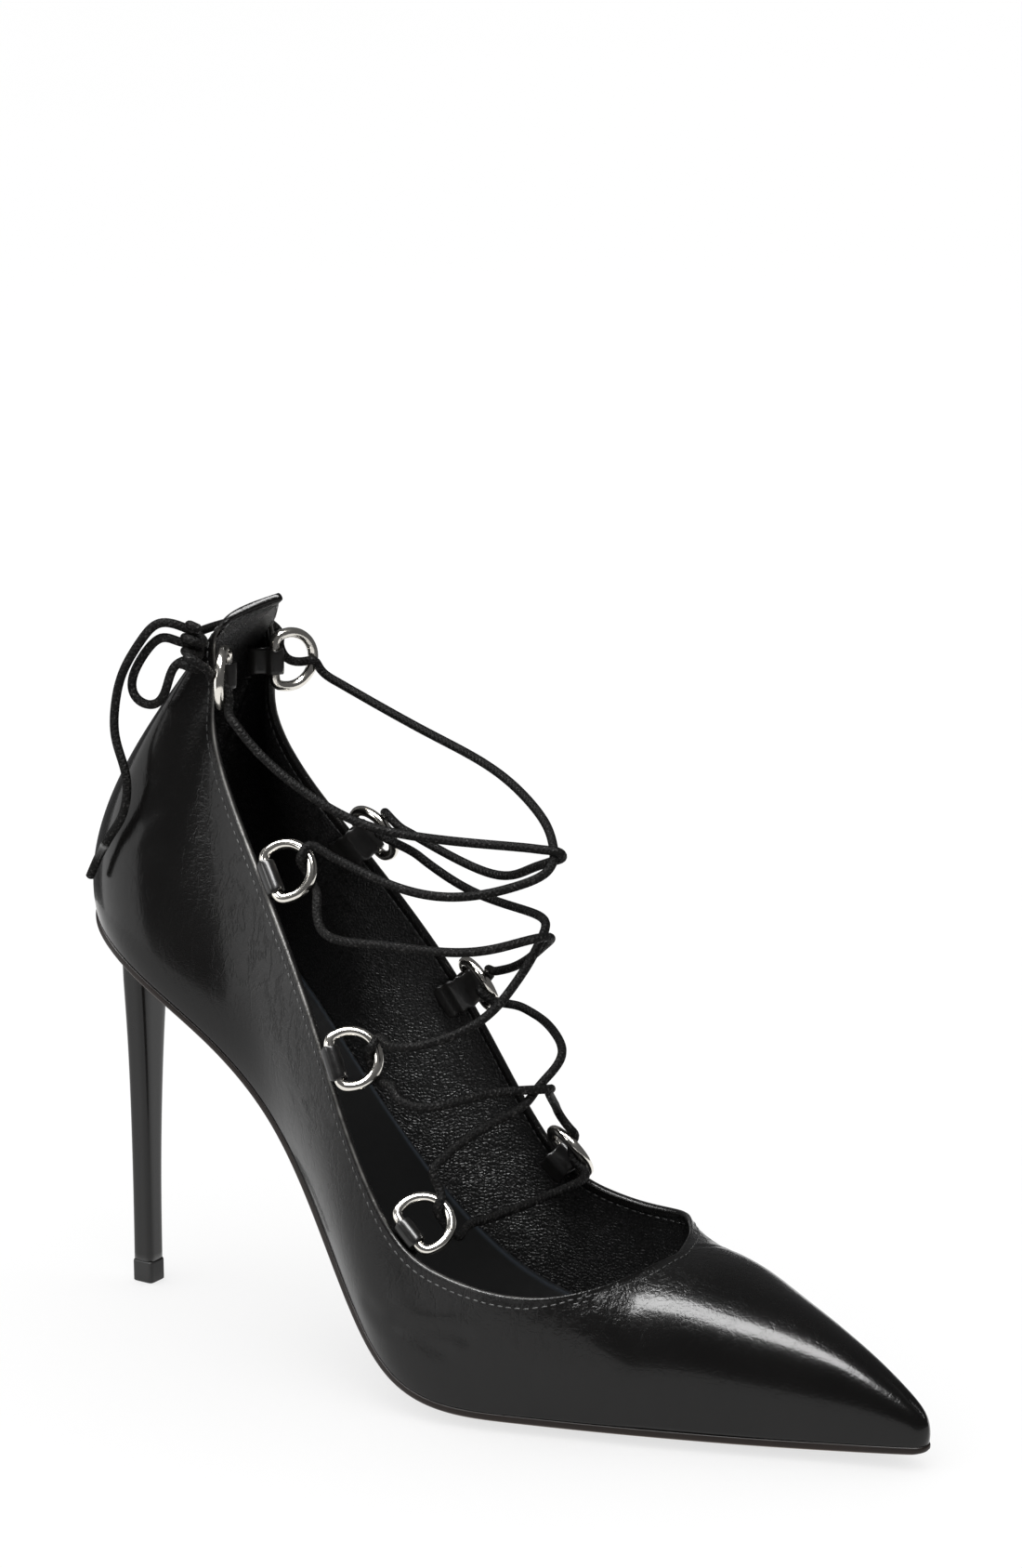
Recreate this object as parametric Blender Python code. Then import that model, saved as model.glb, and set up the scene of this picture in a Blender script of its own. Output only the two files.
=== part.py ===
"""Lace up stiletto pump, right shoe: hollow pointed upper, insole, outsole, heel, top lift, D rings, lace.

Metres in the file, millimetres in the tables. The origin is the centre of the heel tip on the floor,
+X runs to the toe, +Y is the inner side of the foot and +Z is up.
"""
import math

import bpy
import numpy as np

MM = 0.001

# Driving sizes, in millimetres
SHOE_LENGTH = 224.0
HEEL_HEIGHT = 100.0
BALL_WIDTH = 75.0
HEEL_WIDTH = 48.0
COLLAR_HEIGHT = 83.0
WALL = 2.0
SOLE_THICKNESS = 2.4
INSOLE_THICKNESS = 2.0
GAP = 0.3
TIP_SIZE = 5.8
TIP_HEIGHT = 5.2
LACE_DIAMETER = 2.1
RING_WIRE = 2.2
RING_LONG = 15.0
RING_WIDE = 12.4
TAB_LEATHER = 1.0
SEAT_BACK = 6.0
TOE_RADIUS = 3.5
FEATHER = 4.6

# How finely the surfaces are cut
WALL_STEPS = 9
SOLE_STEPS = 8

# Feather line: share of the length, share of the heel height lost, half widths as shares of the ball width
SOLE_ROWS = [
    # share, drop, outer, inner
    (0.000, 1.000, None, None),
    (0.071, 0.920, None, None),
    (0.138, 0.822, 0.318, 0.318),
    (0.205, 0.705, 0.288, 0.268),
    (0.272, 0.552, 0.280, 0.232),
    (0.339, 0.365, 0.338, 0.250),
    (0.406, 0.180, 0.432, 0.318),
    (0.473, 0.052, 0.512, 0.410),
    (0.540, 0.004, 0.518, 0.470),
    (0.607, -0.002, 0.468, 0.476),
    (0.674, -0.003, 0.400, 0.428),
    (0.741, -0.002, 0.332, 0.352),
    (0.848, -0.001, 0.208, 0.216),
    (0.930, 0.003, 0.110, 0.112),
    (1.000, 0.010, None, None),
]

# Topline from the back peak to the front of the throat, in millimetres on the drawn shoe:
# foot is the share of the feather line below it, turn the bearing of the outward side (0 back, 90 side),
# lean the rise of the wall as it arrives (90 upright), low and high the two handles as shares of the wall,
# slide how much the wall also comes forward as it arrives, inner how much further on the inner side's topline lies
TOP_ROWS = [
    # foot, x, half, z, turn, lean, flare, low, high, slide, inner
    (0.000, 42.9, 0.0, 176.3, 0, 40, 14, 0.27, 0.33, 0.00, 0.0),
    (0.045, 36.6, 6.0, 173.2, 36, 50, 14, 0.27, 0.30, 0.05, 0.0),
    (0.090, 32.8, 11.0, 167.6, 62, 64, 14, 0.27, 0.28, 0.30, 0.0),
    (0.135, 33.2, 12.3, 158.0, 76, 76, 14, 0.27, 0.26, 0.42, 0.0),
    (0.180, 32.4, 12.6, 147.0, 84, 80, 14, 0.28, 0.26, 0.40, 0.0),
    (0.240, 38.5, 15.2, 131.5, 90, 82, 14, 0.30, 0.26, 0.30, 0.0),
    (0.305, 51.5, 20.4, 113.5, 90, 84, 14, 0.32, 0.28, 0.20, 0.0),
    (0.370, 70.0, 28.0, 87.0, 90, 86, 12, 0.34, 0.30, 0.10, 0.0),
    (0.432, 84.0, 33.0, 62.0, 90, 86, 10, 0.34, 0.30, 0.04, 0.0),
    (0.492, 98.0, 35.4, 41.5, 90, 84, 8, 0.34, 0.30, 0.00, 0.0),
    (0.552, 112.0, 36.2, 34.4, 90, 80, 8, 0.34, 0.30, 0.00, 0.0),
    (0.603, 124.0, 36.4, 33.0, 90, 76, 9, 0.34, 0.27, 0.00, -0.4),
    (0.642, 133.0, 35.8, 33.2, 90, 72, 8, 0.34, 0.24, 0.00, -1.8),
    (0.668, 139.0, 33.6, 33.8, 90, 62, 8, 0.36, 0.24, 0.00, -4.0),
    (0.692, 144.8, 28.4, 34.9, 90, 44, 8, 0.42, 0.26, 0.00, -5.6),
    (0.713, 149.4, 20.2, 36.2, 90, 24, 8, 0.50, 0.32, 0.00, -5.0),
    (0.727, 152.2, 10.0, 37.4, 90, 8, 8, 0.55, 0.40, 0.00, -2.6),
    (0.735, 153.3, 0.0, 37.8, 90, 0, 8, 0.58, 0.46, 0.00, 0.0),
]

# Ridge of the vamp from the throat to the toe, with the bearing of the wall that climbs to it
RIDGE_ROWS = [
    # foot, x, z, turn, flare, low, high
    (0.735, 153.3, 37.8, 90, 8, 0.58, 0.46),
    (0.785, 164.0, 36.7, 90, 9, 0.58, 0.46),
    (0.835, 175.5, 33.3, 90, 10, 0.54, 0.44),
    (0.885, 187.0, 29.5, 91, 11, 0.48, 0.42),
    (0.925, 197.0, 25.2, 94, 11, 0.42, 0.40),
    (0.960, 206.0, 20.0, 101, 11, 0.38, 0.40),
    (0.982, 212.0, 15.8, 120, 11, 0.34, 0.40),
    (1.000, 216.4, 11.6, 180, 10, 0.36, 0.36),
]
THROAT = 0.735

# Stiletto column: height, centre along the shoe, half depth, half breadth
HEEL_ROWS = [
    # z, x, deep, broad
    (5.5, 0.0, 2.9, 2.8),
    (24.0, 0.2, 2.8, 3.0),
    (46.0, 0.6, 2.9, 3.6),
    (64.0, 1.0, 3.1, 4.6),
    (78.0, 1.3, 3.3, 5.8),
]
HEEL_SEAT = (8.6, 12.4, 14.5)

# Rings: shares of the feather line under the outer and the inner one, swing from the wall towards the inside,
# room between wall and bar; their leather tabs: length of the tail, how far it stands off the wall, width
RING_ROWS = [
    # outer, inner, swing, room, tail, ease, wide
    (0.500, 0.500, 42, 1.3, 2.4, 2.4, 6.4),
    (0.397, 0.388, 56, 0.0, 6.0, 0.4, 8.0),
    (0.306, 0.303, 34, 0.0, 6.0, 0.2, 8.0),
    (0.135, 0.135, -94, 0.9, 0.5, 2.9, 6.0),
]

# Lace crossings, in millimetres on the drawn shoe: one strand from the outer ring to the inner ring behind it,
# one the other way, both through the place where they cross
LACE_ROUTES = [
    (
        [(103, -25, 55), (108, -15, 62), (115, -7, 67), (116, 0, 70), (116, 8, 75), (108, 18, 77), (97, 26, 78)],
        [(102, 28, 55), (110, 12, 65), (116, 0, 70), (110, -13, 71), (104, -24, 70), (96, -28, 71)],
    ),
    (
        [(94, -27, 83), (103, -24, 85), (111, -16, 90), (115, -8, 98), (117, 0, 106), (108, 9, 108), (84, 18, 108)],
        [(101, 14, 94), (117, 0, 106), (113, -14, 106), (101, -21, 105), (86, -24, 105), (72, -24, 106)],
    ),
    (
        [(88, -17, 117), (103, -12, 116), (114, -6, 119), (120, 0, 126), (99, 12, 137), (72, 18, 144)],
        [(92, 12, 115), (110, 5, 120), (120, 0, 126), (104, -6, 127), (85, -12, 128), (70, -16, 132),
         (52, -18, 142)],
    ),
]
BAR_ROUTE = [(107, -17, 40), (110, 2, 40), (113, 18, 41)]

# Cords at the back, in millimetres on the drawn shoe: two leads into the knot, one loop and one hanging end
LEAD_NEAR = [(34.8, -23.4, 164.6), (33.0, -20.4, 164.4)]
LEAD_FAR = [(36, 21.5, 166), (32.5, 17, 167), (28.6, 10.5, 167.5), (27.6, 5, 167.5), (27.4, 0, 167.5), (27.6, -6, 167.5),
            (29.0, -14.4, 167.6)]
LOOP_ROUTE = [(28.8, -19.6, 166.9), (25, -21.2, 167.3), (20, -21.5, 162.5), (17.3, -22, 157), (18.2, -22, 153),
              (22, -21.5, 151.6), (26, -21.4, 154.5), (28.2, -20.6, 160.6)]
END_ROUTE = [(29.6, -19.1, 170.3), (25.5, -22, 171), (21, -23.4, 166.5), (17, -24.8, 159.5), (14.6, -25, 152),
             (14.2, -25, 144), (16.5, -25, 137), (17.2, -25, 131), (15.5, -25, 125), (12, -25, 120), (8.2, -24.8, 114.5),
             (5, -24.4, 109)]
KNOT_LOW = (30.5, -17.6, 160.0)
KNOT_HIGH = (32.1, -16.6, 170.2)
KNOT_RADIUS = 2.0
KNOT_TURNS = 3.4
STRAND_SWING = 24.0

DRAWN_LENGTH = 224.0
DRAWN_HEEL = 100.0
DRAWN_BALL = 75.0
DRAWN_COLLAR = 83.0


def spline(knots, values, at):
    """Natural cubic spline through the rows, at the given places."""
    knots = np.asarray(knots, float)
    values = np.asarray(values, float)
    flat = values.reshape(len(knots), -1)
    step = np.diff(knots)
    count = len(knots)
    matrix = np.eye(count)
    right = np.zeros_like(flat)
    for i in range(1, count - 1):
        matrix[i, i - 1 : i + 2] = step[i - 1], 2 * (step[i - 1] + step[i]), step[i]
        right[i] = 6 * ((flat[i + 1] - flat[i]) / step[i] - (flat[i] - flat[i - 1]) / step[i - 1])
    bend = np.linalg.solve(matrix, right)
    at = np.clip(np.asarray(at, float), knots[0], knots[-1])
    k = np.clip(np.searchsorted(knots, at, side="right") - 1, 0, count - 2)
    h = step[k][:, None]
    a = (knots[k + 1] - at)[:, None] / h
    b = 1 - a
    out = a * flat[k] + b * flat[k + 1]
    out = out + ((a**3 - a) * bend[k] + (b**3 - b) * bend[k + 1]) * h**2 / 6
    return out.reshape((len(at),) + values.shape[1:])


def unit(v):
    v = np.asarray(v, float)
    return v / np.maximum(np.linalg.norm(v, axis=-1, keepdims=True), 1e-9)


def feather_height(x):
    """Height of the feather line over the floor, at a place along the shoe."""
    rows = [(row[0], row[1]) for row in SOLE_ROWS]
    share = (np.asarray(x, float) + SEAT_BACK) / SHOE_LENGTH
    drop = spline([r[0] for r in rows], [r[1] for r in rows], np.atleast_1d(share))
    return FEATHER + (HEEL_HEIGHT - FEATHER) * drop


def outline(side, inset=0.0):
    """Half outline of the feather line on one side (-1 outer, 1 inner) as 201 points, heel to toe."""
    column = 2 if side < 0 else 3
    radius = HEEL_WIDTH / 2 - inset
    back = -SEAT_BACK + inset
    tip = SHOE_LENGTH - SEAT_BACK - 2.4 * inset
    nose = max(TOE_RADIUS - 0.6 * inset, 1.2)
    xs = [-SEAT_BACK + SHOE_LENGTH * row[0] for row in SOLE_ROWS if row[column]]
    ys = [BALL_WIDTH * row[column] - inset * 1.08 for row in SOLE_ROWS if row[column]]
    # the heel is an arc, the toe a small arc, and a spline joins them
    turn = np.radians(np.arange(0, 75, 3.0))
    heel = np.stack([back + radius * (1 - np.cos(turn)), radius * np.sin(turn)], 1)
    slope = math.radians(22)
    lean = np.radians(np.arange(0, 68, 8.0))[::-1]
    toe = np.stack([tip - nose + nose * np.cos(lean), nose * np.sin(lean)], 1)
    keep = [(x, y) for x, y in zip(xs, ys) if x < toe[0, 0] - 6]
    knots = np.array([heel[-3], heel[-1]] + keep + [toe[0] + (-2.0, 2.0 * math.tan(slope)), toe[0]])
    run = np.linspace(knots[0, 0], knots[-1, 0], 240)
    middle = np.stack([run, spline(knots[:, 0], knots[:, 1], run)], 1)
    path = np.concatenate([heel[:-3], middle, toe[1:]])
    path[0, 1] = 0.0
    path[-1, 1] = 0.0
    along = np.concatenate([[0], np.cumsum(np.linalg.norm(np.diff(path, axis=0), axis=1))])
    want = np.linspace(0, along[-1], 401)
    out = np.stack([np.interp(want, along, path[:, i]) for i in (0, 1)], 1)
    out[:, 1] *= side
    return out


def on_outline(line, share):
    """Points and outward bearings of an outline at shares of its length."""
    at = np.clip(np.asarray(share, float), 0, 1) * (len(line) - 1)
    index = np.arange(len(line))
    point = np.stack([np.interp(at, index, line[:, i]) for i in (0, 1)], 1)
    ahead = np.stack([np.interp(np.clip(at + 3, 0, index[-1]), index, line[:, i]) for i in (0, 1)], 1)
    behind = np.stack([np.interp(np.clip(at - 3, 0, index[-1]), index, line[:, i]) for i in (0, 1)], 1)
    run = unit(ahead - behind)
    side = 1.0 if line[len(line) // 2, 1] > 0 else -1.0
    out = np.stack([-run[:, 1], run[:, 0]], 1) * side
    out[np.asarray(share) <= 0] = (-1, 0)
    out[np.asarray(share) >= 1] = (1, 0)
    return point, out


def stations():
    """Shares of the feather line where the shell is cut: closer at the heel, the throat and the toe."""
    marks = [0.0, 0.235, 0.63, 0.735, 0.93, 1.0]
    counts = [11, 13, 9, 7, 6]
    parts = []
    for lo, hi, count in zip(marks[:-1], marks[1:], counts):
        s = np.linspace(0, 1, count + 1)[:-1]
        if lo == 0.63:
            s = 1 - (1 - s) ** 1.5
        parts.append(lo + (hi - lo) * s)
    return np.concatenate(parts + [[1.0]])


def scaled(point):
    """A point drawn in millimetres moved with the driving sizes."""
    p = np.array(point, float)
    x = (p[..., 0] + 6.0) * SHOE_LENGTH / DRAWN_LENGTH - SEAT_BACK
    y = p[..., 1] * (BALL_WIDTH / DRAWN_BALL)
    drawn_seat = 4.6 + 95.4 * seat_share(p[..., 0])
    over = p[..., 2] - drawn_seat
    z = FEATHER + (HEEL_HEIGHT - FEATHER) * seat_share(p[..., 0]) + over * COLLAR_HEIGHT / DRAWN_COLLAR
    return np.stack([x, y, z], -1)


def seat_share(x):
    """Share of the heel height under a drawn place, smooth and never negative."""
    share = (np.atleast_1d(x) + 6.0) / DRAWN_LENGTH
    drop = spline([r[0] for r in SOLE_ROWS], [r[1] for r in SOLE_ROWS], share)
    return drop.reshape(np.shape(x))


def wall_top(share):
    """Point, bearing and handles where the wall ends at shares of the feather line: topline, then ridge."""
    share = np.asarray(share, float)
    top = np.array(TOP_ROWS, float)
    ridge = np.array(RIDGE_ROWS, float)
    early = spline(top[:, 0], top[:, 1:], np.minimum(share, THROAT))
    late = spline(ridge[:, 0], ridge[:, 1:], np.maximum(share, THROAT))
    out = early.copy()
    after = share > THROAT
    out[after, 0] = late[after, 0]
    out[after, 1] = 0.0
    out[after, 2] = late[after, 1]
    out[after, 3] = late[after, 2]
    out[after, 4] = 0.0
    out[after, 5:8] = late[after, 3:6]
    out[after, 8:] = 0.0
    out[share >= THROAT, 1] = 0.0
    out[share <= 0, 1] = 0.0
    return out


def top_point(side, row):
    """Where the wall ends on one side, from the rows of wall_top."""
    place = row[:, :3] + row[:, 9:10] * (1.0 if side > 0 else 0.0, 0.0, 0.0)
    return scaled(place) * (1, side, 1)


def shell(side, share, inset, steps):
    """Wall of one side as a grid: stations along the shoe, steps from the feather line to the top."""
    line = outline(side, inset)
    foot, out = on_outline(line, share)
    foot = np.column_stack([foot, feather_height(foot[:, 0])])
    out = np.column_stack([out, np.zeros(len(out))])
    row = wall_top(share)
    top = top_point(side, row)
    turn = np.radians(row[:, 3])
    lean = np.radians(np.clip(row[:, 4], 0, 90))[:, None]
    flare = np.radians(row[:, 5])[:, None]
    bearing = np.stack([-np.cos(turn), side * np.sin(turn), np.zeros(len(turn))], 1)
    up = np.array([0.0, 0.0, 1.0])
    normal = bearing * np.sin(lean) + up * np.cos(lean)
    arrive = unit(up * np.sin(lean) - bearing * np.cos(lean) + row[:, 8:9] * (1.0, 0.0, 0.0))
    # the wall's thickness goes square to the topline and to the wall that arrives at it
    ahead, behind = (top_point(side, wall_top(share + d)) for d in (0.004, -0.004))
    square = -side * unit(np.cross(ahead - behind, arrive))
    weight = (np.clip(share / 0.06, 0, 1) * np.clip((0.58 - share) / 0.12, 0, 1))[:, None]
    normal = unit(normal * (1 - weight) + square * weight)
    top = top - normal * inset
    late = np.clip((share - THROAT) / (1 - THROAT), 0, 1)
    top[:, 0] -= 2.6 * inset * late**2
    chord = np.linalg.norm(top - foot, axis=1, keepdims=True)
    low = foot + row[:, 6:7] * chord * (out * np.sin(flare) + up * np.cos(flare))
    high = top - row[:, 7:8] * chord * arrive
    s = np.linspace(0, 1, steps + 1)[None, :, None]
    f, lo, hi, t = (p[:, None, :] for p in (foot, low, high, top))
    return f * (1 - s) ** 3 + 3 * lo * s * (1 - s) ** 2 + 3 * hi * s**2 * (1 - s) + t * s**3


def around(near, far):
    """One closed round of stations from the two sides, heel middle first."""
    return np.concatenate([near, far[-2:0:-1]])


def grid_faces(rows, columns, start=0, wrap=True, flip=False):
    """Quads of a grid whose rows close on themselves when wrap is set."""
    last = rows if wrap else rows - 1
    faces = []
    for i in range(last):
        j = (i + 1) % rows
        for k in range(columns - 1):
            a, b = start + i * columns + k, start + j * columns + k
            quad = (a, b, b + 1, a + 1)
            faces.append(quad[::-1] if flip else quad)
    return faces


def weld(points, faces, within=1e-4):
    """Points at the same place made one, and what collapses dropped."""
    key = np.round(np.asarray(points) / within).astype(np.int64)
    _, first, index = np.unique(key, axis=0, return_index=True, return_inverse=True)
    index = index.reshape(-1)
    clean = []
    for face in faces:
        loop = [int(index[v]) for v in face]
        loop = [v for n, v in enumerate(loop) if v != loop[n - 1]]
        if len(loop) > 2 and len(set(loop)) == len(loop):
            clean.append(loop)
    return np.asarray(points)[first], clean


def volume(points, faces):
    total = 0.0
    for face in faces:
        a = points[face[0]]
        for k in range(1, len(face) - 1):
            total += np.dot(a, np.cross(points[face[k]], points[face[k + 1]]))
    return total


MATERIALS = {}


def material(name, color, rough, metal=0.0, coat=0.0):
    """One shader per kind of stuff."""
    if name not in MATERIALS:
        mat = bpy.data.materials.new(name)
        mat.use_nodes = True
        shader = mat.node_tree.nodes["Principled BSDF"]
        shader.inputs["Base Color"].default_value = (*color, 1.0)
        shader.inputs["Roughness"].default_value = rough
        shader.inputs["Metallic"].default_value = metal
        shader.inputs["Coat Weight"].default_value = coat
        MATERIALS[name] = mat
    return MATERIALS[name]


def leather():
    return material("black_leather", (0.012, 0.011, 0.010), 0.28, 0.0, 0.6)


def make(name, points, faces, mat, smooth=True):
    """A mesh object in metres from points in millimetres, its faces turned outwards."""
    points, faces = weld(points, faces)
    if volume(points, faces) < 0:
        faces = [face[::-1] for face in faces]
    mesh = bpy.data.meshes.new(name)
    mesh.from_pydata([tuple(p) for p in np.asarray(points) * MM], [], faces)
    mesh.validate()
    obj = bpy.data.objects.new(name, mesh)
    bpy.context.scene.collection.objects.link(obj)
    mesh.materials.append(mat)
    if smooth:
        mesh.polygons.foreach_set("use_smooth", [True] * len(mesh.polygons))
    return obj


def build_upper():
    share = stations()
    count = WALL_STEPS + 1
    grids = []
    for inset in (0.0, WALL):
        near = shell(-1, share, inset, WALL_STEPS)
        far = shell(1, share, inset, WALL_STEPS)
        grids.append(around(near, far))
    rounds = len(grids[0])
    shares = np.concatenate([share, share[-2:0:-1]])
    points = np.concatenate([g.reshape(-1, 3) for g in grids])
    inner = rounds * count
    faces = grid_faces(rounds, count)
    faces += grid_faces(rounds, count, start=inner, flip=True)
    for i in range(rounds):
        j = (i + 1) % rounds
        a, b = i * count, j * count
        faces.append((b, a, inner + a, inner + b))
        if max(shares[i], shares[j]) <= THROAT + 1e-9:
            a, b = a + WALL_STEPS, b + WALL_STEPS
            faces.append((a, b, inner + b, inner + a))
    return make("upper", points, faces, leather())


def plate_point(x, y, depth):
    """A point pushed square to the feather surface, down by depth."""
    step = 0.5
    slope = (feather_height(x + step) - feather_height(x - step)) / (2 * step)
    size = np.sqrt(1 + slope**2)
    return np.stack([x + depth * slope / size, y, feather_height(x) - depth / size], -1)


def plate(share, inset_top, inset_low, top, low, steps, floor=False):
    """Top and underside of a plate between the two outlines, as two grids with the same cuts."""
    across = np.linspace(-1, 1, steps + 1)
    grids = []
    for inset, depth in ((inset_top, top), (inset_low, low)):
        near, _ = on_outline(outline(-1, inset), share)
        far, _ = on_outline(outline(1, inset), share)
        mix = (across[None, :, None] + 1) / 2
        flat = near[:, None, :] * (1 - mix) + far[:, None, :] * mix
        x, y = flat[..., 0].reshape(-1), flat[..., 1].reshape(-1)
        place = np.tile(across, (len(share), 1))
        place[[0, -1]] = 1.0
        down = depth(x, place.reshape(-1))
        grid = plate_point(x, y, down).reshape(len(share), steps + 1, 3)
        if floor:
            grid[..., 2] = np.maximum(grid[..., 2], 0.0)
        grids.append(grid)
    return grids


def plate_object(name, grids, mat):
    top, low = grids
    rows, columns = top.shape[:2]
    points = np.concatenate([top.reshape(-1, 3), low.reshape(-1, 3)])
    under = rows * columns
    faces = grid_faces(rows, columns, wrap=False)
    faces += grid_faces(rows, columns, start=under, wrap=False, flip=True)
    for i in range(rows - 1):
        for k, turn in ((0, 1), (columns - 1, -1)):
            a, b = i * columns + k, (i + 1) * columns + k
            faces.append((a, b, under + b, under + a)[::-turn])
    for i, turn in ((0, -1), (rows - 1, 1)):
        for k in range(columns - 1):
            a, b = i * columns + k, i * columns + k + 1
            faces.append((a, b, under + b, under + a)[::-turn])
    return make(name, points, faces, mat)


def sole_depth(x, across):
    """How far the outsole's underside lies below the feather surface: thin edge, fuller middle under the ball."""
    share = (x + SEAT_BACK) / SHOE_LENGTH
    full = np.clip((share - 0.42) / 0.10, 0, 1) * np.clip((0.90 - share) / 0.14, 0, 1)
    belly = 0.3 + (FEATHER - SOLE_THICKNESS + 1.0) * full**1.5
    return GAP + SOLE_THICKNESS * 0.75 + belly * (1 - np.abs(across) ** 2.2)


def build_soles():
    share = stations()
    black = material("black_sole", (0.02, 0.013, 0.01), 0.5)
    grids = plate(share, 0.0, 0.9, lambda x, v: GAP + 0 * x, sole_depth, SOLE_STEPS, floor=True)
    plate_object("outsole", grids, black)
    some = share[::2] if len(share) % 2 else np.append(share[:-1:2], 1.0)
    room = WALL + GAP + 0.5
    lining = material("black_lining", (0.01, 0.01, 0.011), 0.45)
    grids = plate(some, room, room, lambda x, v: -INSOLE_THICKNESS + 0 * x, lambda x, v: -0.2 + 0 * x, 6)
    plate_object("insole", grids, lining)


def ring_shape(x, deep, broad, power, count=24):
    """A rounded square about a centre: count points."""
    turn = np.arange(count) * 2 * math.pi / count + math.pi / count
    c, s = np.cos(turn), np.sin(turn)
    e = 2.0 / power
    return np.stack([x + deep * np.sign(c) * np.abs(c) ** e, broad * np.sign(s) * np.abs(s) ** e], 1)


def under_sole(x, y):
    """Height of the outsole's underside at a place near the heel, less the gap."""
    at = np.array(x, float)
    for _ in range(6):
        line = np.maximum(np.abs(y) / (HEEL_WIDTH / 2), 0)
        point = plate_point(at, y, sole_depth(at, np.clip(line, 0, 1)) + GAP + 0.1)
        at = at + (x - point[:, 0])
    return point[:, 2]


def build_heel():
    size = TIP_SIZE / 5.8
    lift = (HEEL_HEIGHT - FEATHER) / (DRAWN_HEEL - 4.6)
    rings = []
    for z, x, deep, broad in HEEL_ROWS:
        height = TIP_HEIGHT + GAP + (z - 5.5) * lift
        flat = ring_shape(x, deep * size, broad * size, 4.5)
        rings.append(np.column_stack([flat, np.full(len(flat), height)]))
    x, deep, broad = HEEL_SEAT
    column = rings[-1]
    seat = ring_shape(x - SEAT_BACK + 6.0, deep * HEEL_WIDTH / 48.0, broad * HEEL_WIDTH / 48.0, 2.6)
    seat = np.column_stack([seat, under_sole(seat[:, 0], seat[:, 1])])
    for s in (0.35, 0.62, 0.82, 0.93, 1.0):
        ring = column + (seat - column) * s
        ring[:, :2] = column[:, :2] + (seat[:, :2] - column[:, :2]) * (0.12 * s + 0.88 * s**4)
        rings.append(ring)
    middle = seat[:, :2].mean(axis=0)
    for s in (0.7, 0.35, 0.0):
        flat = middle + (seat[:, :2] - middle) * s
        rings.append(np.column_stack([flat, under_sole(flat[:, 0], flat[:, 1])]))
    points = np.concatenate(rings)
    count = len(column)
    faces = []
    for r in range(len(rings) - 1):
        for i in range(count):
            j = (i + 1) % count
            faces.append((r * count + i, r * count + j, (r + 1) * count + j, (r + 1) * count + i))
    faces.append(tuple(range(count))[::-1])
    make("heel", points, faces, material("heel_cover", (0.015, 0.014, 0.013), 0.25, 0.0, 0.5))
    half = TIP_SIZE / 2
    flat = ring_shape(0.0, half + 0.05, half - 0.05, 6.0)
    low = np.column_stack([flat, np.zeros(count)])
    high = np.column_stack([flat, np.full(count, TIP_HEIGHT)])
    points = np.concatenate([low, high])
    faces = [(i, (i + 1) % count, count + (i + 1) % count, count + i) for i in range(count)]
    faces += [tuple(range(count))[::-1], tuple(range(count, 2 * count))]
    make("top_lift", points, faces, material("black_rubber", (0.02, 0.02, 0.02), 0.6), smooth=False)


def rim_frame(side, foot):
    """At a place on the topline: its point, the run forwards, the way up the wall and the way inside."""
    share = np.array([foot - 0.01, foot, foot + 0.01])
    grid = shell(side, share, 0.0, 12)
    run = unit(grid[2, -1] - grid[0, -1])
    rise = unit(grid[1, -1] - grid[1, -3])
    rise = unit(rise - run * np.dot(rise, run))
    inside = np.cross(run, rise) * side
    if inside[1] * side > 0:
        inside = -inside
    return grid[1, -1], run, rise, unit(inside)


def sweep(path, frames, section, closed):
    """Points and quads of a section carried along a path; frames gives two axes at each point."""
    points = np.concatenate([p + section[:, :1] * a + section[:, 1:] * b for p, (a, b) in zip(path, frames)])
    count = len(section)
    faces = []
    last = len(path) if closed else len(path) - 1
    for i in range(last):
        j = (i + 1) % len(path)
        for k in range(count):
            m = (k + 1) % count
            faces.append((i * count + k, j * count + k, j * count + m, i * count + m))
    if not closed:
        faces.append(tuple(range(count)))
        start = (len(path) - 1) * count
        faces.append(tuple(range(start, start + count))[::-1])
    return points, faces


def circle(radius, count):
    turn = np.arange(count) * 2 * math.pi / count
    return np.stack([radius * np.cos(turn), radius * np.sin(turn)], 1)


def ring_layout(side, row):
    """Bar centre and axes of one ring: along the bar, out to the arc, up the wall and inside."""
    rim, run, rise, inside = rim_frame(side, row[0] if side < 0 else row[1])
    over = RING_WIRE / 2 + GAP + TAB_LEATHER + GAP + 0.4
    bar = rim + inside * (WALL * 0.5 + row[3]) + rise * over
    angle = math.radians(row[2])
    out = rise * math.cos(angle) + inside * math.sin(angle)
    return bar, run, out, rise, inside


def build_ring(name, side, row):
    bar, run, out, _, _ = ring_layout(side, row)
    long_half = (RING_LONG - RING_WIRE) / 2
    reach = RING_WIDE - RING_WIRE
    path, frames = [], []
    cross = np.cross(run, out)
    corner = 1.6
    spots = [(-long_half + corner, 0.0), (0.0, 0.0), (long_half - corner, 0.0)]
    spots += [(long_half - corner * 0.28, corner * 0.32)]
    for turn in np.radians(np.linspace(14, 166, 13)):
        spots.append((long_half * math.cos(turn) * 1.02, reach * math.sin(turn)))
    spots += [(-long_half + corner * 0.28, corner * 0.32)]
    spots = np.array(spots)
    ahead = np.roll(spots, -1, axis=0) - np.roll(spots, 1, axis=0)
    for (t, e), (dt, de) in zip(spots, ahead):
        length = math.hypot(dt, de)
        path.append(bar + run * t + out * e)
        frames.append(((run * de - out * dt) / length, cross))
    points, faces = sweep(path, frames, circle(RING_WIRE / 2, 6), True)
    silver = material("polished_silver", (0.85, 0.82, 0.76), 0.12, 1.0)
    make(name, points, faces, silver)


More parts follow.
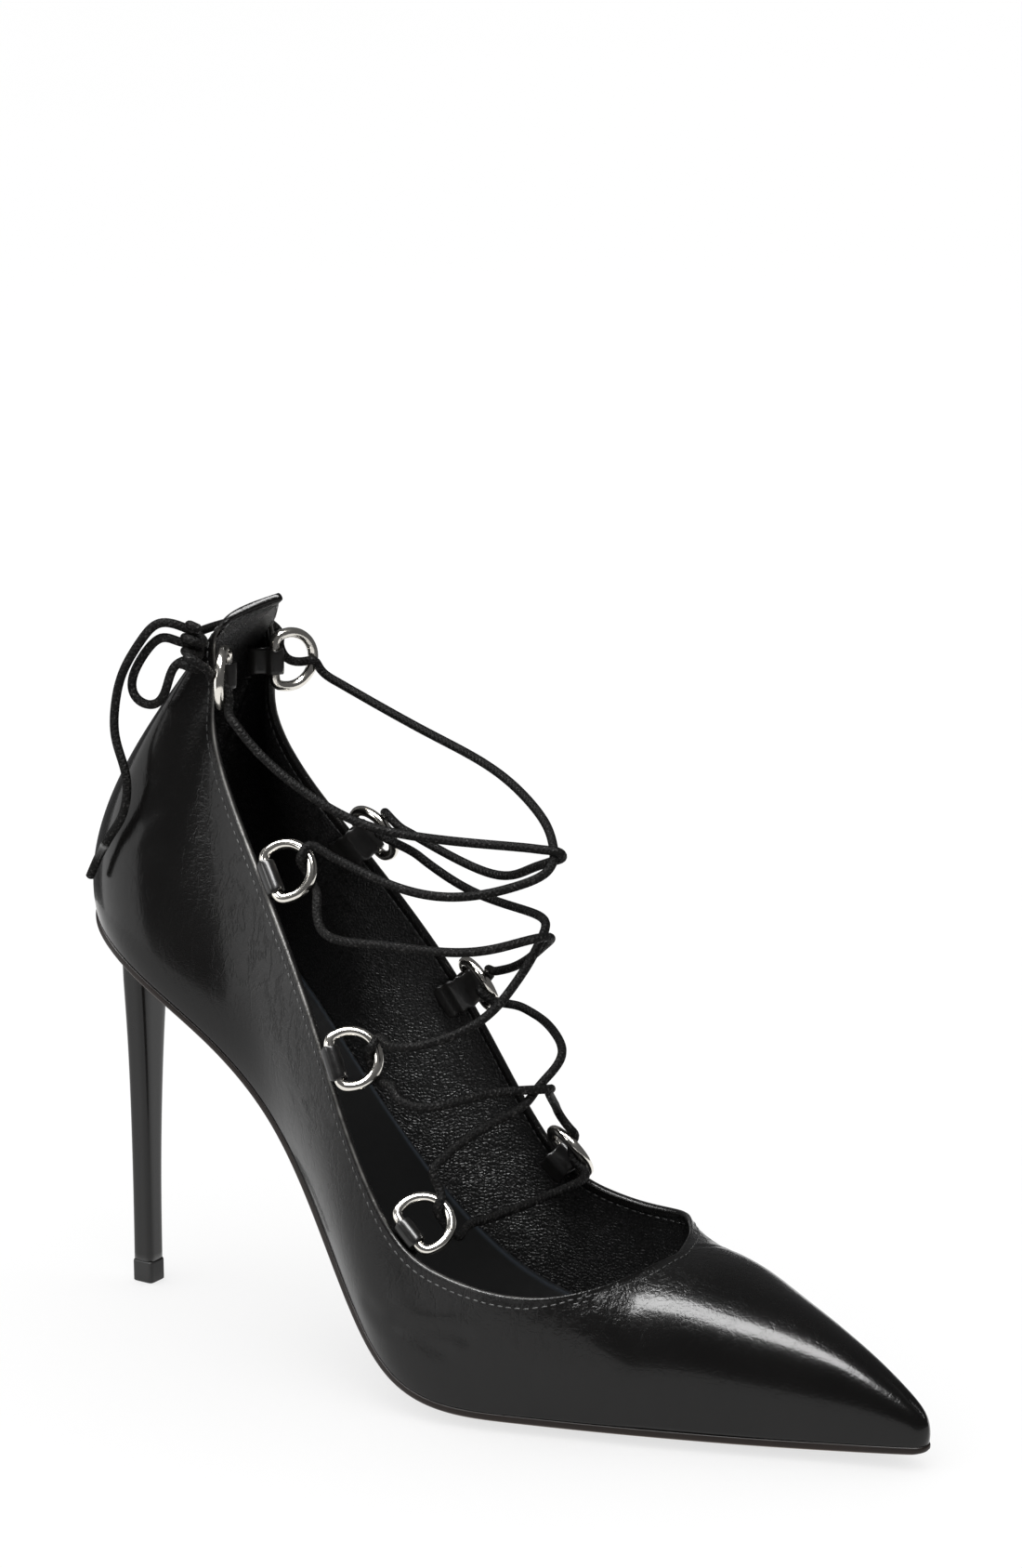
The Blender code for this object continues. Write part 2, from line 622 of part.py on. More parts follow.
def build_tab(name, side, row):
    """Folded loop: up the inside of the wall, round the bar, and down again behind itself."""
    bar, run, _, rise, inside = ring_layout(side, row)
    half = TAB_LEATHER / 2
    turn_radius = RING_WIRE / 2 + GAP + half
    over = RING_WIRE / 2 + 2 * GAP + TAB_LEATHER + 0.4
    near = WALL * 0.5 - row[3] + GAP + 0.1 + half + row[5]
    far = near + TAB_LEATHER + 0.2
    foot = -over - row[4]
    bend = -turn_radius - 0.25
    spots = [(near, foot), (near, (foot + bend) / 2 - 0.6), (near - 0.1, bend - 0.7), (near - 0.7, bend - 0.1)]
    for turn in np.radians(np.arange(262, -15, -31.0)):
        spots.append((turn_radius * math.cos(turn), turn_radius * math.sin(turn)))
    spots += [(far - 0.35, -turn_radius), (far, bend - 0.9), (far, (foot + bend) / 2 - 0.6), (far, foot)]
    spots = np.array(spots)
    ahead = unit(np.gradient(spots, axis=0))
    path = [bar + inside * a + rise * b for a, b in spots]
    frames = [(inside * -db + rise * da, run) for da, db in ahead]
    wide = row[6] / 2
    section = np.array([(-half, -wide), (half, -wide), (half, wide), (-half, wide)])
    points, faces = sweep(path, frames, section, False)
    make(name, points, faces, leather(), smooth=False)


def ring_arc(side, number, along):
    """Place on a ring's arc where a strand ends, and the way out of the ring; along swings it to the toe, in degrees."""
    bar, run, out, _, _ = ring_layout(side, RING_ROWS[number - 1])
    reach = RING_WIDE - RING_WIRE
    half = (RING_LONG - RING_WIRE) / 2
    turn = math.radians(90 - along)
    return bar + run * half * math.cos(turn) + out * reach * math.sin(turn), run * math.cos(turn) + out * math.sin(turn)


def clear_of_ring(arc, target):
    """A strand's end, off the ring's wire towards the strand's next point, to leave the gap."""
    place, away = arc
    ahead = unit(np.asarray(target) - place)
    lean = math.sqrt(max(1 - np.dot(ahead, away) ** 2, 0.0))
    room = RING_WIRE / 2 + GAP + 0.1 + LACE_DIAMETER / 2 * lean
    return place + unit(away + 0.5 * ahead) * room


def strand(points, step):
    """Places every step along a smooth curve through the route's own points."""
    points = np.asarray(points, float)
    knots = np.arange(len(points))
    fine = spline(knots, points, np.linspace(0, len(points) - 1, 60 * len(points)))
    along = np.concatenate([[0], np.cumsum(np.linalg.norm(np.diff(fine, axis=0), axis=1))])
    count = max(int(round(along[-1] / step)), 3)
    want = np.linspace(0, along[-1], count + 1)
    return np.stack([np.interp(want, along, fine[:, i]) for i in range(3)], 1)


def cord_black():
    return material("black_cord", (0.015, 0.014, 0.014), 0.55)


def tube(name, path):
    """A closed six sided strand along a path."""
    path = np.asarray(path)
    run = unit(np.gradient(path, axis=0))
    frames = []
    side = unit(np.cross(run[0], (0.0, 0.3, 1.0)))
    for d in run:
        side = unit(side - d * np.dot(side, d))
        frames.append((side, np.cross(d, side)))
    points, faces = sweep(path, frames, circle(LACE_DIAMETER / 2, 6), False)
    return make(name, points, faces, cord_black())


def join_solids(keeper, other):
    """Boolean union of two strands that touch where they cross."""
    tool = keeper.modifiers.new("join", "BOOLEAN")
    tool.operation = "UNION"
    tool.solver = "EXACT"
    tool.object = other
    other.hide_render = True
    other.display_type = "WIRE"


def between_rings(start, route, end):
    """A strand's points: from ring to ring, just clear of both wires."""
    route = list(scaled(np.array(route, float)))
    return [clear_of_ring(start, route[0]), *route, clear_of_ring(end, route[-1])]


def build_lace():
    for number, (there, back) in enumerate(LACE_ROUTES, start=1):
        strands = []
        for side, route in ((-1, there), (1, back)):
            start = ring_arc(side, number, -STRAND_SWING)
            end = ring_arc(-side, number + 1, STRAND_SWING)
            path = strand(between_rings(start, route, end), 2.4 * LACE_DIAMETER)
            word = "" if side < 0 else "_back"
            strands.append(tube(f"lace_cross_{number}{word}", path))
        join_solids(*strands)
    ends = [ring_arc(side, 1, STRAND_SWING) for side in (-1, 1)]
    path = strand(between_rings(ends[0], BAR_ROUTE, ends[1]), 2.4 * LACE_DIAMETER)
    tube("lace_bar", path)


def cord(name, path):
    """A round cord as a curve with a bevel, from places in millimetres."""
    curve = bpy.data.curves.new(name, "CURVE")
    curve.dimensions = "3D"
    curve.bevel_depth = LACE_DIAMETER / 2 * MM
    curve.bevel_resolution = 2
    curve.use_fill_caps = True
    spline_line = curve.splines.new("POLY")
    spline_line.points.add(len(path) - 1)
    for point, place in zip(spline_line.points, path):
        point.co = (*(place * MM), 1.0)
    obj = bpy.data.objects.new(name, curve)
    bpy.context.scene.collection.objects.link(obj)
    curve.materials.append(cord_black())


def knot_path():
    """Wraps of cord about the knot's axis, as one short helix."""
    low, high = scaled(np.array([KNOT_LOW, KNOT_HIGH]))
    axis = unit(high - low)
    one = unit(np.cross(axis, (0.0, 1.0, 0.0)))
    two = np.cross(axis, one)
    turn = np.linspace(0, KNOT_TURNS * 2 * math.pi, int(KNOT_TURNS * 8) + 1)
    share = (turn / turn[-1])[:, None]
    ring = one * np.cos(turn)[:, None] + two * np.sin(turn)[:, None]
    return low + (high - low) * share + ring * KNOT_RADIUS


def build_cords():
    cord("lace_knot", knot_path())
    near = ring_arc(-1, 4, -STRAND_SWING)
    route = scaled(np.array(LEAD_NEAR, float))
    cord("lace_lead_near", strand([clear_of_ring(near, route[0]), *route], 1.2 * LACE_DIAMETER))
    far = ring_arc(1, 4, -STRAND_SWING)
    route = scaled(np.array(LEAD_FAR, float))
    cord("lace_lead_far", strand([clear_of_ring(far, route[0]), *route], 2.0 * LACE_DIAMETER))
    cord("lace_loop", strand(scaled(np.array(LOOP_ROUTE, float)), 1.6 * LACE_DIAMETER))
    cord("lace_end", strand(scaled(np.array(END_ROUTE, float)), 2.2 * LACE_DIAMETER))


def clear_scene():
    for obj in list(bpy.data.objects):
        bpy.data.objects.remove(obj, do_unlink=True)


def main():
    clear_scene()
    build_upper()
    build_soles()
    build_heel()
    for number, row in enumerate(RING_ROWS, start=1):
        for word, side in (("near", -1), ("far", 1)):
            build_ring(f"ring_{word}_{number}", side, row)
            build_tab(f"ring_tab_{word}_{number}", side, row)
    build_lace()
    build_cords()


main()
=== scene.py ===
"""Looks of the lace up stiletto pump: black glossy calf upper, lining, sole, heel, D rings and cord lace.

Shapes are worked out in millimetres in the frame of the CAD model (+X to the toe, +Y to the inner side of the
foot, +Z up) as whole arrays, and put into the meshes in metres.
"""
import math

import bmesh
import bpy
import numpy as np
from mathutils.bvhtree import BVHTree
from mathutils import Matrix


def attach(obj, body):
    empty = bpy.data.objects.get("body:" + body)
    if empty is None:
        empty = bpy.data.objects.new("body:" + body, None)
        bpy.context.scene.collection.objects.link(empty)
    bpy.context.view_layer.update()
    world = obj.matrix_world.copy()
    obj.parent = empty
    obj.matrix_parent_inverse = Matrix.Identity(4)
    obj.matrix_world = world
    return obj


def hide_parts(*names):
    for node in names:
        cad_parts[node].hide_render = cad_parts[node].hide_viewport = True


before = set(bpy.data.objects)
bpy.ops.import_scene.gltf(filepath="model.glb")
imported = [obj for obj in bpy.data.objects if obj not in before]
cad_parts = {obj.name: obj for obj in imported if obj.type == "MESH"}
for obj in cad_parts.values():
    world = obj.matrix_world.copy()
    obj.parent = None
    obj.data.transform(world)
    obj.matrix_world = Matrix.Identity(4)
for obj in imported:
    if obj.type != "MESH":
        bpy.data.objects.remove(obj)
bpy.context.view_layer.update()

bl_info = {
    "name": "Lace Up Pump Looks",
    "version": (1, 0, 0),
    "blender": (4, 5, 0),
    "location": "3D View > Sidebar > Pump",
    "description": "Dresses the pump's CAD model in leather, metal and cord",
    "category": "Add Mesh",
}

MM = 0.001
UP = np.array([0.0, 0.0, 1.0])

# Sizes the shapes share with the CAD model, in millimetres
LENGTH = 224.0
HEEL_HEIGHT = 100.0
BALL_WIDTH = 75.0
HEEL_WIDTH = 48.0
WALL = 2.0
GAP = 0.3
TIP_HEIGHT = 5.2
SEAT_BACK = 6.0
TOE_RADIUS = 3.5
FEATHER = 4.6
TAB_LEATHER = 1.0
BAR_ROOM = 0.4
RING_LONG = 15.0
RING_WIDE = 12.4
THROAT = 0.735
THROAT_SIDE = 0.63

# Feather line: share of the length, share of the heel height lost, half widths as shares of the ball width
SOLE_ROWS = [
    # share, drop, outer, inner
    (0.000, 1.000, None, None),
    (0.071, 0.920, None, None),
    (0.138, 0.822, 0.318, 0.318),
    (0.205, 0.705, 0.288, 0.268),
    (0.272, 0.552, 0.280, 0.232),
    (0.339, 0.365, 0.338, 0.250),
    (0.406, 0.180, 0.432, 0.318),
    (0.473, 0.052, 0.512, 0.410),
    (0.540, 0.004, 0.518, 0.470),
    (0.607, -0.002, 0.468, 0.476),
    (0.674, -0.003, 0.400, 0.428),
    (0.741, -0.002, 0.332, 0.352),
    (0.848, -0.001, 0.208, 0.216),
    (0.930, 0.003, 0.110, 0.112),
    (1.000, 0.010, None, None),
]

# Topline from the back peak to the front of the throat: foot is the share of the feather line below it, turn the
# bearing of the outward side, lean the rise of the wall as it arrives, low and high the handles as shares of the
# wall, slide how much the wall also comes forward, inner how much further on the inner side's topline lies
TOP_ROWS = [
    # foot, x, half, z, turn, lean, flare, low, high, slide, inner
    (0.000, 42.9, 0.0, 176.3, 0, 40, 14, 0.27, 0.33, 0.00, 0.0),
    (0.045, 36.6, 6.0, 173.2, 36, 50, 14, 0.27, 0.30, 0.05, 0.0),
    (0.090, 32.8, 11.0, 167.6, 62, 64, 14, 0.27, 0.28, 0.30, 0.0),
    (0.135, 33.2, 12.3, 158.0, 76, 76, 14, 0.27, 0.26, 0.42, 0.0),
    (0.180, 32.4, 12.6, 147.0, 84, 80, 14, 0.28, 0.26, 0.40, 0.0),
    (0.240, 38.5, 15.2, 131.5, 90, 82, 14, 0.30, 0.26, 0.30, 0.0),
    (0.305, 51.5, 20.4, 113.5, 90, 84, 14, 0.32, 0.28, 0.20, 0.0),
    (0.370, 70.0, 28.0, 87.0, 90, 86, 12, 0.34, 0.30, 0.10, 0.0),
    (0.432, 84.0, 33.0, 62.0, 90, 86, 10, 0.34, 0.30, 0.04, 0.0),
    (0.492, 98.0, 35.4, 41.5, 90, 84, 8, 0.34, 0.30, 0.00, 0.0),
    (0.552, 112.0, 36.2, 34.4, 90, 80, 8, 0.34, 0.30, 0.00, 0.0),
    (0.603, 124.0, 36.4, 33.0, 90, 76, 9, 0.34, 0.27, 0.00, -0.4),
    (0.642, 133.0, 35.8, 33.2, 90, 72, 8, 0.34, 0.24, 0.00, -1.8),
    (0.668, 139.0, 33.6, 33.8, 90, 62, 8, 0.36, 0.24, 0.00, -4.0),
    (0.692, 144.8, 28.4, 34.9, 90, 44, 8, 0.42, 0.26, 0.00, -5.6),
    (0.713, 149.4, 20.2, 36.2, 90, 24, 8, 0.50, 0.32, 0.00, -5.0),
    (0.727, 152.2, 10.0, 37.4, 90, 8, 8, 0.55, 0.40, 0.00, -2.6),
    (0.735, 153.3, 0.0, 37.8, 90, 0, 8, 0.58, 0.46, 0.00, 0.0),
]

X, HALF, Z, TURN, LEAN, FLARE, LOW, HIGH, SLIDE, INNER = range(10)

# Ridge of the vamp from the throat to the toe, with the bearing of the wall that climbs to it
RIDGE_ROWS = [
    # foot, x, z, turn, flare, low, high
    (0.735, 153.3, 37.8, 90, 8, 0.58, 0.46),
    (0.785, 164.0, 36.7, 90, 9, 0.58, 0.46),
    (0.835, 175.5, 33.3, 90, 10, 0.54, 0.44),
    (0.885, 187.0, 29.5, 91, 11, 0.48, 0.42),
    (0.925, 197.0, 25.2, 94, 11, 0.42, 0.40),
    (0.960, 206.0, 20.0, 101, 11, 0.38, 0.40),
    (0.982, 212.0, 15.8, 120, 11, 0.34, 0.40),
    (1.000, 216.4, 11.6, 180, 10, 0.36, 0.36),
]

RIDGE_COLUMNS = [X, Z, TURN, FLARE, LOW, HIGH]
EASING_PASSES = 70

# Creases of the worn-soft calf: side, share of the feather line and of the wall at both ends, bow, width, depth
CREASES = [
    (-1, 0.300, 0.62, 0.345, 0.90, 0.02, 1.1, 0.08),
    (-1, 0.290, 0.50, 0.325, 0.74, -0.02, 1.3, 0.07),
    (-1, 0.318, 0.46, 0.352, 0.66, 0.01, 0.9, 0.06),
    (-1, 0.336, 0.58, 0.372, 0.80, 0.02, 1.1, 0.08),
    (-1, 0.352, 0.44, 0.392, 0.70, -0.02, 1.0, 0.06),
    (-1, 0.272, 0.66, 0.296, 0.92, 0.01, 1.0, 0.12),
    (-1, 0.376, 0.60, 0.410, 0.86, 0.02, 1.2, 0.13),
    (-1, 0.640, 0.62, 0.668, 0.93, 0.02, 1.2, 0.13),
    (-1, 0.668, 0.60, 0.690, 0.92, 0.01, 1.0, 0.12),
    (-1, 0.700, 0.66, 0.706, 0.95, -0.01, 1.1, 0.12),
    (1, 0.700, 0.70, 0.706, 0.96, 0.01, 1.1, 0.14),
    (1, 0.722, 0.64, 0.720, 0.93, 0.01, 1.0, 0.14),
    (1, 0.748, 0.60, 0.736, 0.90, -0.01, 1.1, 0.12),
    (1, 0.676, 0.62, 0.688, 0.94, 0.01, 1.1, 0.14),
    (1, 0.400, 0.45, 0.440, 0.75, 0.02, 1.2, 0.13),
    (1, 0.310, 0.50, 0.350, 0.82, -0.02, 1.1, 0.14),
    (-1, 0.470, 0.30, 0.560, 0.44, 0.05, 2.4, 0.16),
    (-1, 0.505, 0.46, 0.585, 0.58, 0.04, 2.0, 0.14),
    (-1, 0.120, 0.40, 0.160, 0.62, 0.03, 2.2, 0.14),
    (1, 0.500, 0.32, 0.590, 0.42, 0.05, 2.4, 0.16),
]

# Stiletto column: height, centre along the shoe, half depth, half breadth
HEEL_ROWS = [
    # z, x, deep, broad
    (5.5, 0.0, 2.9, 2.8),
    (24.0, 0.2, 2.8, 3.0),
    (46.0, 0.6, 2.9, 3.6),
    (64.0, 1.0, 3.1, 4.6),
    (78.0, 1.3, 3.3, 5.8),
]
HEEL_SEAT = (8.6, 12.4, 14.5)
HEEL_CORNERS = 64
LIFT_HALF = 2.95

# Rounded edge of the outsole: inset from the feather line, depth under it
SOLE_EDGE = [(-0.05, 0.05), (-0.12, 0.5), (-0.10, 1.1), (0.08, 1.55), (0.42, 1.88)]

# Rings: shares of the feather line under the outer and the inner one, swing from the wall towards the inside,
# room between wall and bar; their tabs: length of the tail, how far it stands off the wall, width
RING_ROWS = [
    # outer, inner, swing, room, tail, ease, wide
    (0.500, 0.500, 42, 1.3, 2.4, 2.4, 6.4),
    (0.397, 0.388, 56, 0.0, 6.0, 0.4, 8.0),
    (0.306, 0.303, 34, 0.0, 6.0, 0.2, 8.0),
    (0.135, 0.135, -94, 0.9, 0.5, 2.9, 6.0),
]

# Later turns of the lace about a ring's wire, in degrees: about the wire, along the arc
LACE_TURNS = ((162, 10), (198, -5), (248, -12), (298, -19))

# Lace crossings: one strand from the outer ring to the inner ring behind it, one the other way
LACE_ROUTES = [
    (
        [(103, -25, 55), (108, -15, 62), (115, -7, 67), (116, 0, 70), (116, 8, 75), (108, 18, 77), (97, 26, 78)],
        [(102, 28, 55), (110, 12, 65), (116, 0, 70), (110, -13, 71), (104, -24, 70), (96, -28, 71)],
    ),
    (
        [(94, -27, 83), (103, -24, 85), (111, -16, 90), (115, -8, 98), (117, 0, 106), (108, 9, 108), (84, 18, 108)],
        [(101, 14, 94), (117, 0, 106), (113, -14, 106), (101, -21, 105), (86, -24, 105), (72, -24, 106)],
    ),
    (
        [(88, -17, 117), (103, -12, 116), (114, -6, 119), (120, 0, 126), (99, 12, 137), (72, 18, 144)],
        [(92, 12, 115), (110, 5, 120), (120, 0, 126), (104, -6, 127), (85, -12, 128), (70, -16, 132),
         (52, -18, 142)],
    ),
]
CROSSING_POINT = (3, 4, 3)
CROSSING_SHIFT = 1.1
BAR_ROUTE = [(107, -17, 40), (110, 2, 40), (113, 18, 41)]
LEAD_NEAR = [(34.8, -23.4, 164.6), (33.0, -20.4, 164.4)]
LEAD_FAR = [(31.3, 16.4, 162.6), (28.6, 10.5, 167.5), (27.6, 5, 167.5), (27.4, 0, 167.5), (27.6, -6, 167.5),
            (29.0, -14.4, 167.6)]
LOOP_ROUTE = [(28.8, -19.6, 166.9), (25, -21.2, 167.3), (20, -21.5, 162.5), (17.3, -22, 157), (18.2, -22, 153),
              (22, -21.5, 151.6), (26, -21.4, 154.5), (28.2, -20.6, 160.6)]
END_ROUTE = [(29.6, -19.1, 170.3), (25.5, -22, 171), (21, -23.4, 166.5), (17, -24.8, 159.5), (14.6, -25, 152),
             (14.2, -25, 144), (16.5, -25, 137), (17.2, -25, 131), (15.5, -25, 125), (12, -25, 120),
             (8.2, -24.8, 114.5),
             (5, -24.4, 109)]
KNOT_LOW = (30.5, -17.6, 160.0)
KNOT_HIGH = (32.1, -16.6, 170.2)
KNOT_TOP = (31.6, -17.0, 168.8)
KNOT_UPPER = (31.4, -17.2, 166.0)
KNOT_LOWER = (30.8, -17.4, 162.6)
KNOT_TURNS = 3.4
STRAND_SWING = 24.0
TUBE_SIDES = 14
CORD_STEP = 0.7

# Threads: space between two stitches, half the thread's thickness
STITCH_SPACE = 0.55
THREAD = 0.19

# Camera: shifts of the lens, its right, up and back axes, its place in metres
LENS_SHIFT = (0.01717, 0.2391)
CAMERA_AXES = [(0.8299, 0.5579, 0.0), (-0.1776, 0.2642, 0.9480), (0.5289, -0.7867, 0.3184)]
CAMERA_PLACE = (0.6289, -0.7867, 0.3684)

# Softboxes in metres: name and power's name, place, target, width, height
SOFTBOXES = [
    ("top", (0.06, -0.24, 0.95), (0.15, 0.0, 0.03), 1.25, 0.40),
    ("side", (-1.1, -0.7, 0.1), (0.0, 0.0, 0.12), 1.6, 1.0),
    ("fill", (-0.5, -1.6, 0.9), (0.10, 0.0, 0.05), 0.5, 0.5),
]
FLOOR_CENTRE = (0.09, 0.0)
FLOOR_EDGE = 0.42
FLOOR_REACH = 60.0


class PumpSizes(bpy.types.PropertyGroup):
    """Sizes that a user would change."""

    lace: bpy.props.FloatProperty(
        name="Lace", description="Diameter of the lace", default=0.0021, unit="LENGTH")
    wire: bpy.props.FloatProperty(
        name="Ring wire", description="Thickness of the rings' wire", default=0.0022, unit="LENGTH")
    stitch: bpy.props.FloatProperty(
        name="Stitch", description="Length of one stitch along the topline", default=0.0016, unit="LENGTH")
    seam: bpy.props.FloatProperty(
        name="Seam", description="Distance of the stitching from the edge", default=0.0020, unit="LENGTH")
    crease: bpy.props.FloatProperty(
        name="Creases", description="Depth of the leather's creases", default=1.0, subtype="FACTOR")


class PumpColours(bpy.types.PropertyGroup):
    """Colours of the finishes."""

    calf: bpy.props.FloatVectorProperty(
        name="Calf", description="Outer leather", default=(0.0045, 0.0042, 0.0040), size=3, subtype="COLOR")
    lining: bpy.props.FloatVectorProperty(
        name="Lining", description="Inner leather", default=(0.0070, 0.0068, 0.0068), size=3, subtype="COLOR")
    sock: bpy.props.FloatVectorProperty(
        name="Sock", description="Insole leather", default=(0.0060, 0.0062, 0.0066), size=3, subtype="COLOR")
    sole: bpy.props.FloatVectorProperty(
        name="Sole", description="Sole edge and underside", default=(0.012, 0.007, 0.005), size=3, subtype="COLOR")
    metal: bpy.props.FloatVectorProperty(
        name="Rings", description="Polished metal", default=(0.80, 0.77, 0.71), size=3, subtype="COLOR")
    cord: bpy.props.FloatVectorProperty(
        name="Cord", description="Waxed cord", default=(0.0075, 0.0072, 0.0070), size=3, subtype="COLOR")
    floor: bpy.props.FloatVectorProperty(
        name="Floor", description="Studio floor", default=(0.32, 0.32, 0.32), size=3, subtype="COLOR")


class PumpStudio(bpy.types.PropertyGroup):
    """Camera and lights."""

    lens: bpy.props.FloatProperty(
        name="Lens", description="Focal length in millimetres", default=99.04)
    top: bpy.props.FloatProperty(
        name="Top light", description="Power of the long overhead softbox", default=40.0, unit="POWER")
    side: bpy.props.FloatProperty(
        name="Side light", description="Power of the softbox beside the heel", default=7.0, unit="POWER")
    fill: bpy.props.FloatProperty(
        name="Fill light", description="Power of the soft front light", default=6.0, unit="POWER")


def sizes():
    return bpy.context.scene.pump_sizes


def colours():
    return bpy.context.scene.pump_colours


def lace_width():
    return sizes().lace / MM


def wire_width():
    return sizes().wire / MM


def spline(knots, values, at):
    """Natural cubic spline through the rows, at the given places."""
    knots = np.asarray(knots, float)
    values = np.asarray(values, float)
    flat = values.reshape(len(knots), -1)
    step = np.diff(knots)
    count = len(knots)
    matrix = np.eye(count)
    right = np.zeros_like(flat)
    inner = np.arange(1, count - 1)
    matrix[inner, inner - 1] = step[:-1]
    matrix[inner, inner] = 2 * (step[:-1] + step[1:])
    matrix[inner, inner + 1] = step[1:]
    slope = np.diff(flat, axis=0) / step[:, None]
    right[inner] = 6 * np.diff(slope, axis=0)
    bend = np.linalg.solve(matrix, right)
    at = np.clip(np.asarray(at, float), knots[0], knots[-1])
    k = np.clip(np.searchsorted(knots, at, side="right") - 1, 0, count - 2)
    h = step[k][:, None]
    a = (knots[k + 1] - at)[:, None] / h
    b = 1 - a
    out = a * flat[k] + b * flat[k + 1]
    out = out + ((a**3 - a) * bend[k] + (b**3 - b) * bend[k + 1]) * h**2 / 6
    return out.reshape((len(at),) + values.shape[1:])


def unit(v):
    v = np.asarray(v, float)
    return v / np.maximum(np.linalg.norm(v, axis=-1, keepdims=True), 1e-9)


def chords(points):
    """Length along a chain of points, up to each of them."""
    return np.concatenate([[0], np.cumsum(np.linalg.norm(np.diff(points, axis=0), axis=1))])


def placed(want, along, points):
    """Points of a chain at the wanted lengths or numbers."""
    return np.stack([np.interp(want, along, column) for column in points.T], 1)


def fade_in(x, start, width):
    """0 up to the start, 1 from a width past it, straight between."""
    return np.clip((x - start) / width, 0, 1)


def fade_out(x, end, width):
    """1 up to a width before the end, 0 from the end, straight between."""
    return np.clip((end - x) / width, 0, 1)


def bell(x, centre, width):
    """exp of minus the squared distance to the centre over the width."""
    return np.exp(-((x - centre) / width) ** 2)


def round_turn(count):
    """Angles of evenly spaced places on a circle."""
    return np.arange(count) * 2 * math.pi / count


def circle(radius, count):
    turn = round_turn(count)
    return np.stack([radius * np.cos(turn), radius * np.sin(turn)], 1)


def seat_share(x):
    """Share of the heel height left at a place along the shoe."""
    share = (np.atleast_1d(x) + SEAT_BACK) / LENGTH
    drop = spline([r[0] for r in SOLE_ROWS], [r[1] for r in SOLE_ROWS], share)
    return drop.reshape(np.shape(x))


def feather_height(x):
    """Height of the feather line over the floor."""
    return FEATHER + (HEEL_HEIGHT - FEATHER) * seat_share(x)


def outline(side, inset=0.0):
    """Half outline of the feather line: a heel arc, a spline through the rows and a small toe arc, evenly cut."""
    column = 2 if side < 0 else 3
    radius = HEEL_WIDTH / 2 - inset
    back = -SEAT_BACK + inset
    tip = LENGTH - SEAT_BACK - 2.4 * inset
    nose = max(TOE_RADIUS - 0.6 * inset, 1.2)
    xs = [-SEAT_BACK + LENGTH * row[0] for row in SOLE_ROWS if row[column]]
    ys = [BALL_WIDTH * row[column] - inset * 1.08 for row in SOLE_ROWS if row[column]]
    turn = np.radians(np.arange(0, 75, 3.0))
    heel = np.stack([back + radius * (1 - np.cos(turn)), radius * np.sin(turn)], 1)
    lean = np.radians(np.arange(0, 68, 8.0))[::-1]
    toe = np.stack([tip - nose + nose * np.cos(lean), nose * np.sin(lean)], 1)
    keep = [(x, y) for x, y in zip(xs, ys) if x < toe[0, 0] - 6]
    knots = np.array([heel[-3], heel[-1]] + keep + [toe[0] + (-2.0, 2.0 * math.tan(math.radians(22))), toe[0]])
    run = np.linspace(knots[0, 0], knots[-1, 0], 240)
    middle = np.stack([run, spline(knots[:, 0], knots[:, 1], run)], 1)
    path = np.concatenate([heel[:-3], middle, toe[1:]])
    path[[0, -1], 1] = 0.0
    along = chords(path)
    out = placed(np.linspace(0, along[-1], 401), along, path)
    out[:, 1] *= side
    return out


def on_outline(line, share):
    """Points and outward bearings of an outline at shares of its length."""
    at = np.clip(np.asarray(share, float), 0, 1) * (len(line) - 1)
    index = np.arange(len(line))
    point, ahead, behind = (placed(np.clip(at + d, 0, index[-1]), index, line) for d in (0, 3, -3))
    run = unit(ahead - behind)
    side = 1.0 if line[len(line) // 2, 1] > 0 else -1.0
    out = np.stack([-run[:, 1], run[:, 0]], 1) * side
    out[np.asarray(share) <= 0] = (-1, 0)
    out[np.asarray(share) >= 1] = (1, 0)
    return point, out


def stations(counts):
    """Shares of the feather line where the shell is cut, closer at the heel, the throat and the toe."""
    marks = [0.0, 0.235, THROAT_SIDE, THROAT, 0.93, 1.0]
    parts = []
    for lo, hi, count in zip(marks[:-1], marks[1:], counts):
        s = np.linspace(0, 1, count + 1)[:-1]
        if lo == THROAT_SIDE:
            s = 1 - (1 - s) ** 1.5
        parts.append(lo + (hi - lo) * s)
    return np.concatenate(parts + [[1.0]])


def wall_top(share):
    """Point, bearing and handles where the wall ends: topline, then ridge."""
    share = np.asarray(share, float)
    top = np.array(TOP_ROWS, float)
    ridge = np.array(RIDGE_ROWS, float)
    out = spline(top[:, 0], top[:, 1:], np.minimum(share, THROAT))
    late = spline(ridge[:, 0], ridge[:, 1:], np.maximum(share, THROAT))
    after = share > THROAT
    out[after] = 0.0
    out[np.ix_(after, RIDGE_COLUMNS)] = late[after]
    out[(share >= THROAT) | (share <= 0), HALF] = 0.0
    return out


def top_point(side, row):
    """Where the wall ends on one side, from the rows of wall_top."""
    return (row[:, [X, HALF, Z]] + row[:, [INNER]] * (1.0 if side > 0 else 0.0, 0.0, 0.0)) * (1, side, 1)


def wall_foot(side, inset, share):
    """Where the wall starts on the feather line, and its outward bearing there."""
    foot, out = on_outline(outline(side, inset), share)
    return np.column_stack([foot, feather_height(foot[:, 0])]), np.column_stack([out, np.zeros(len(out))])


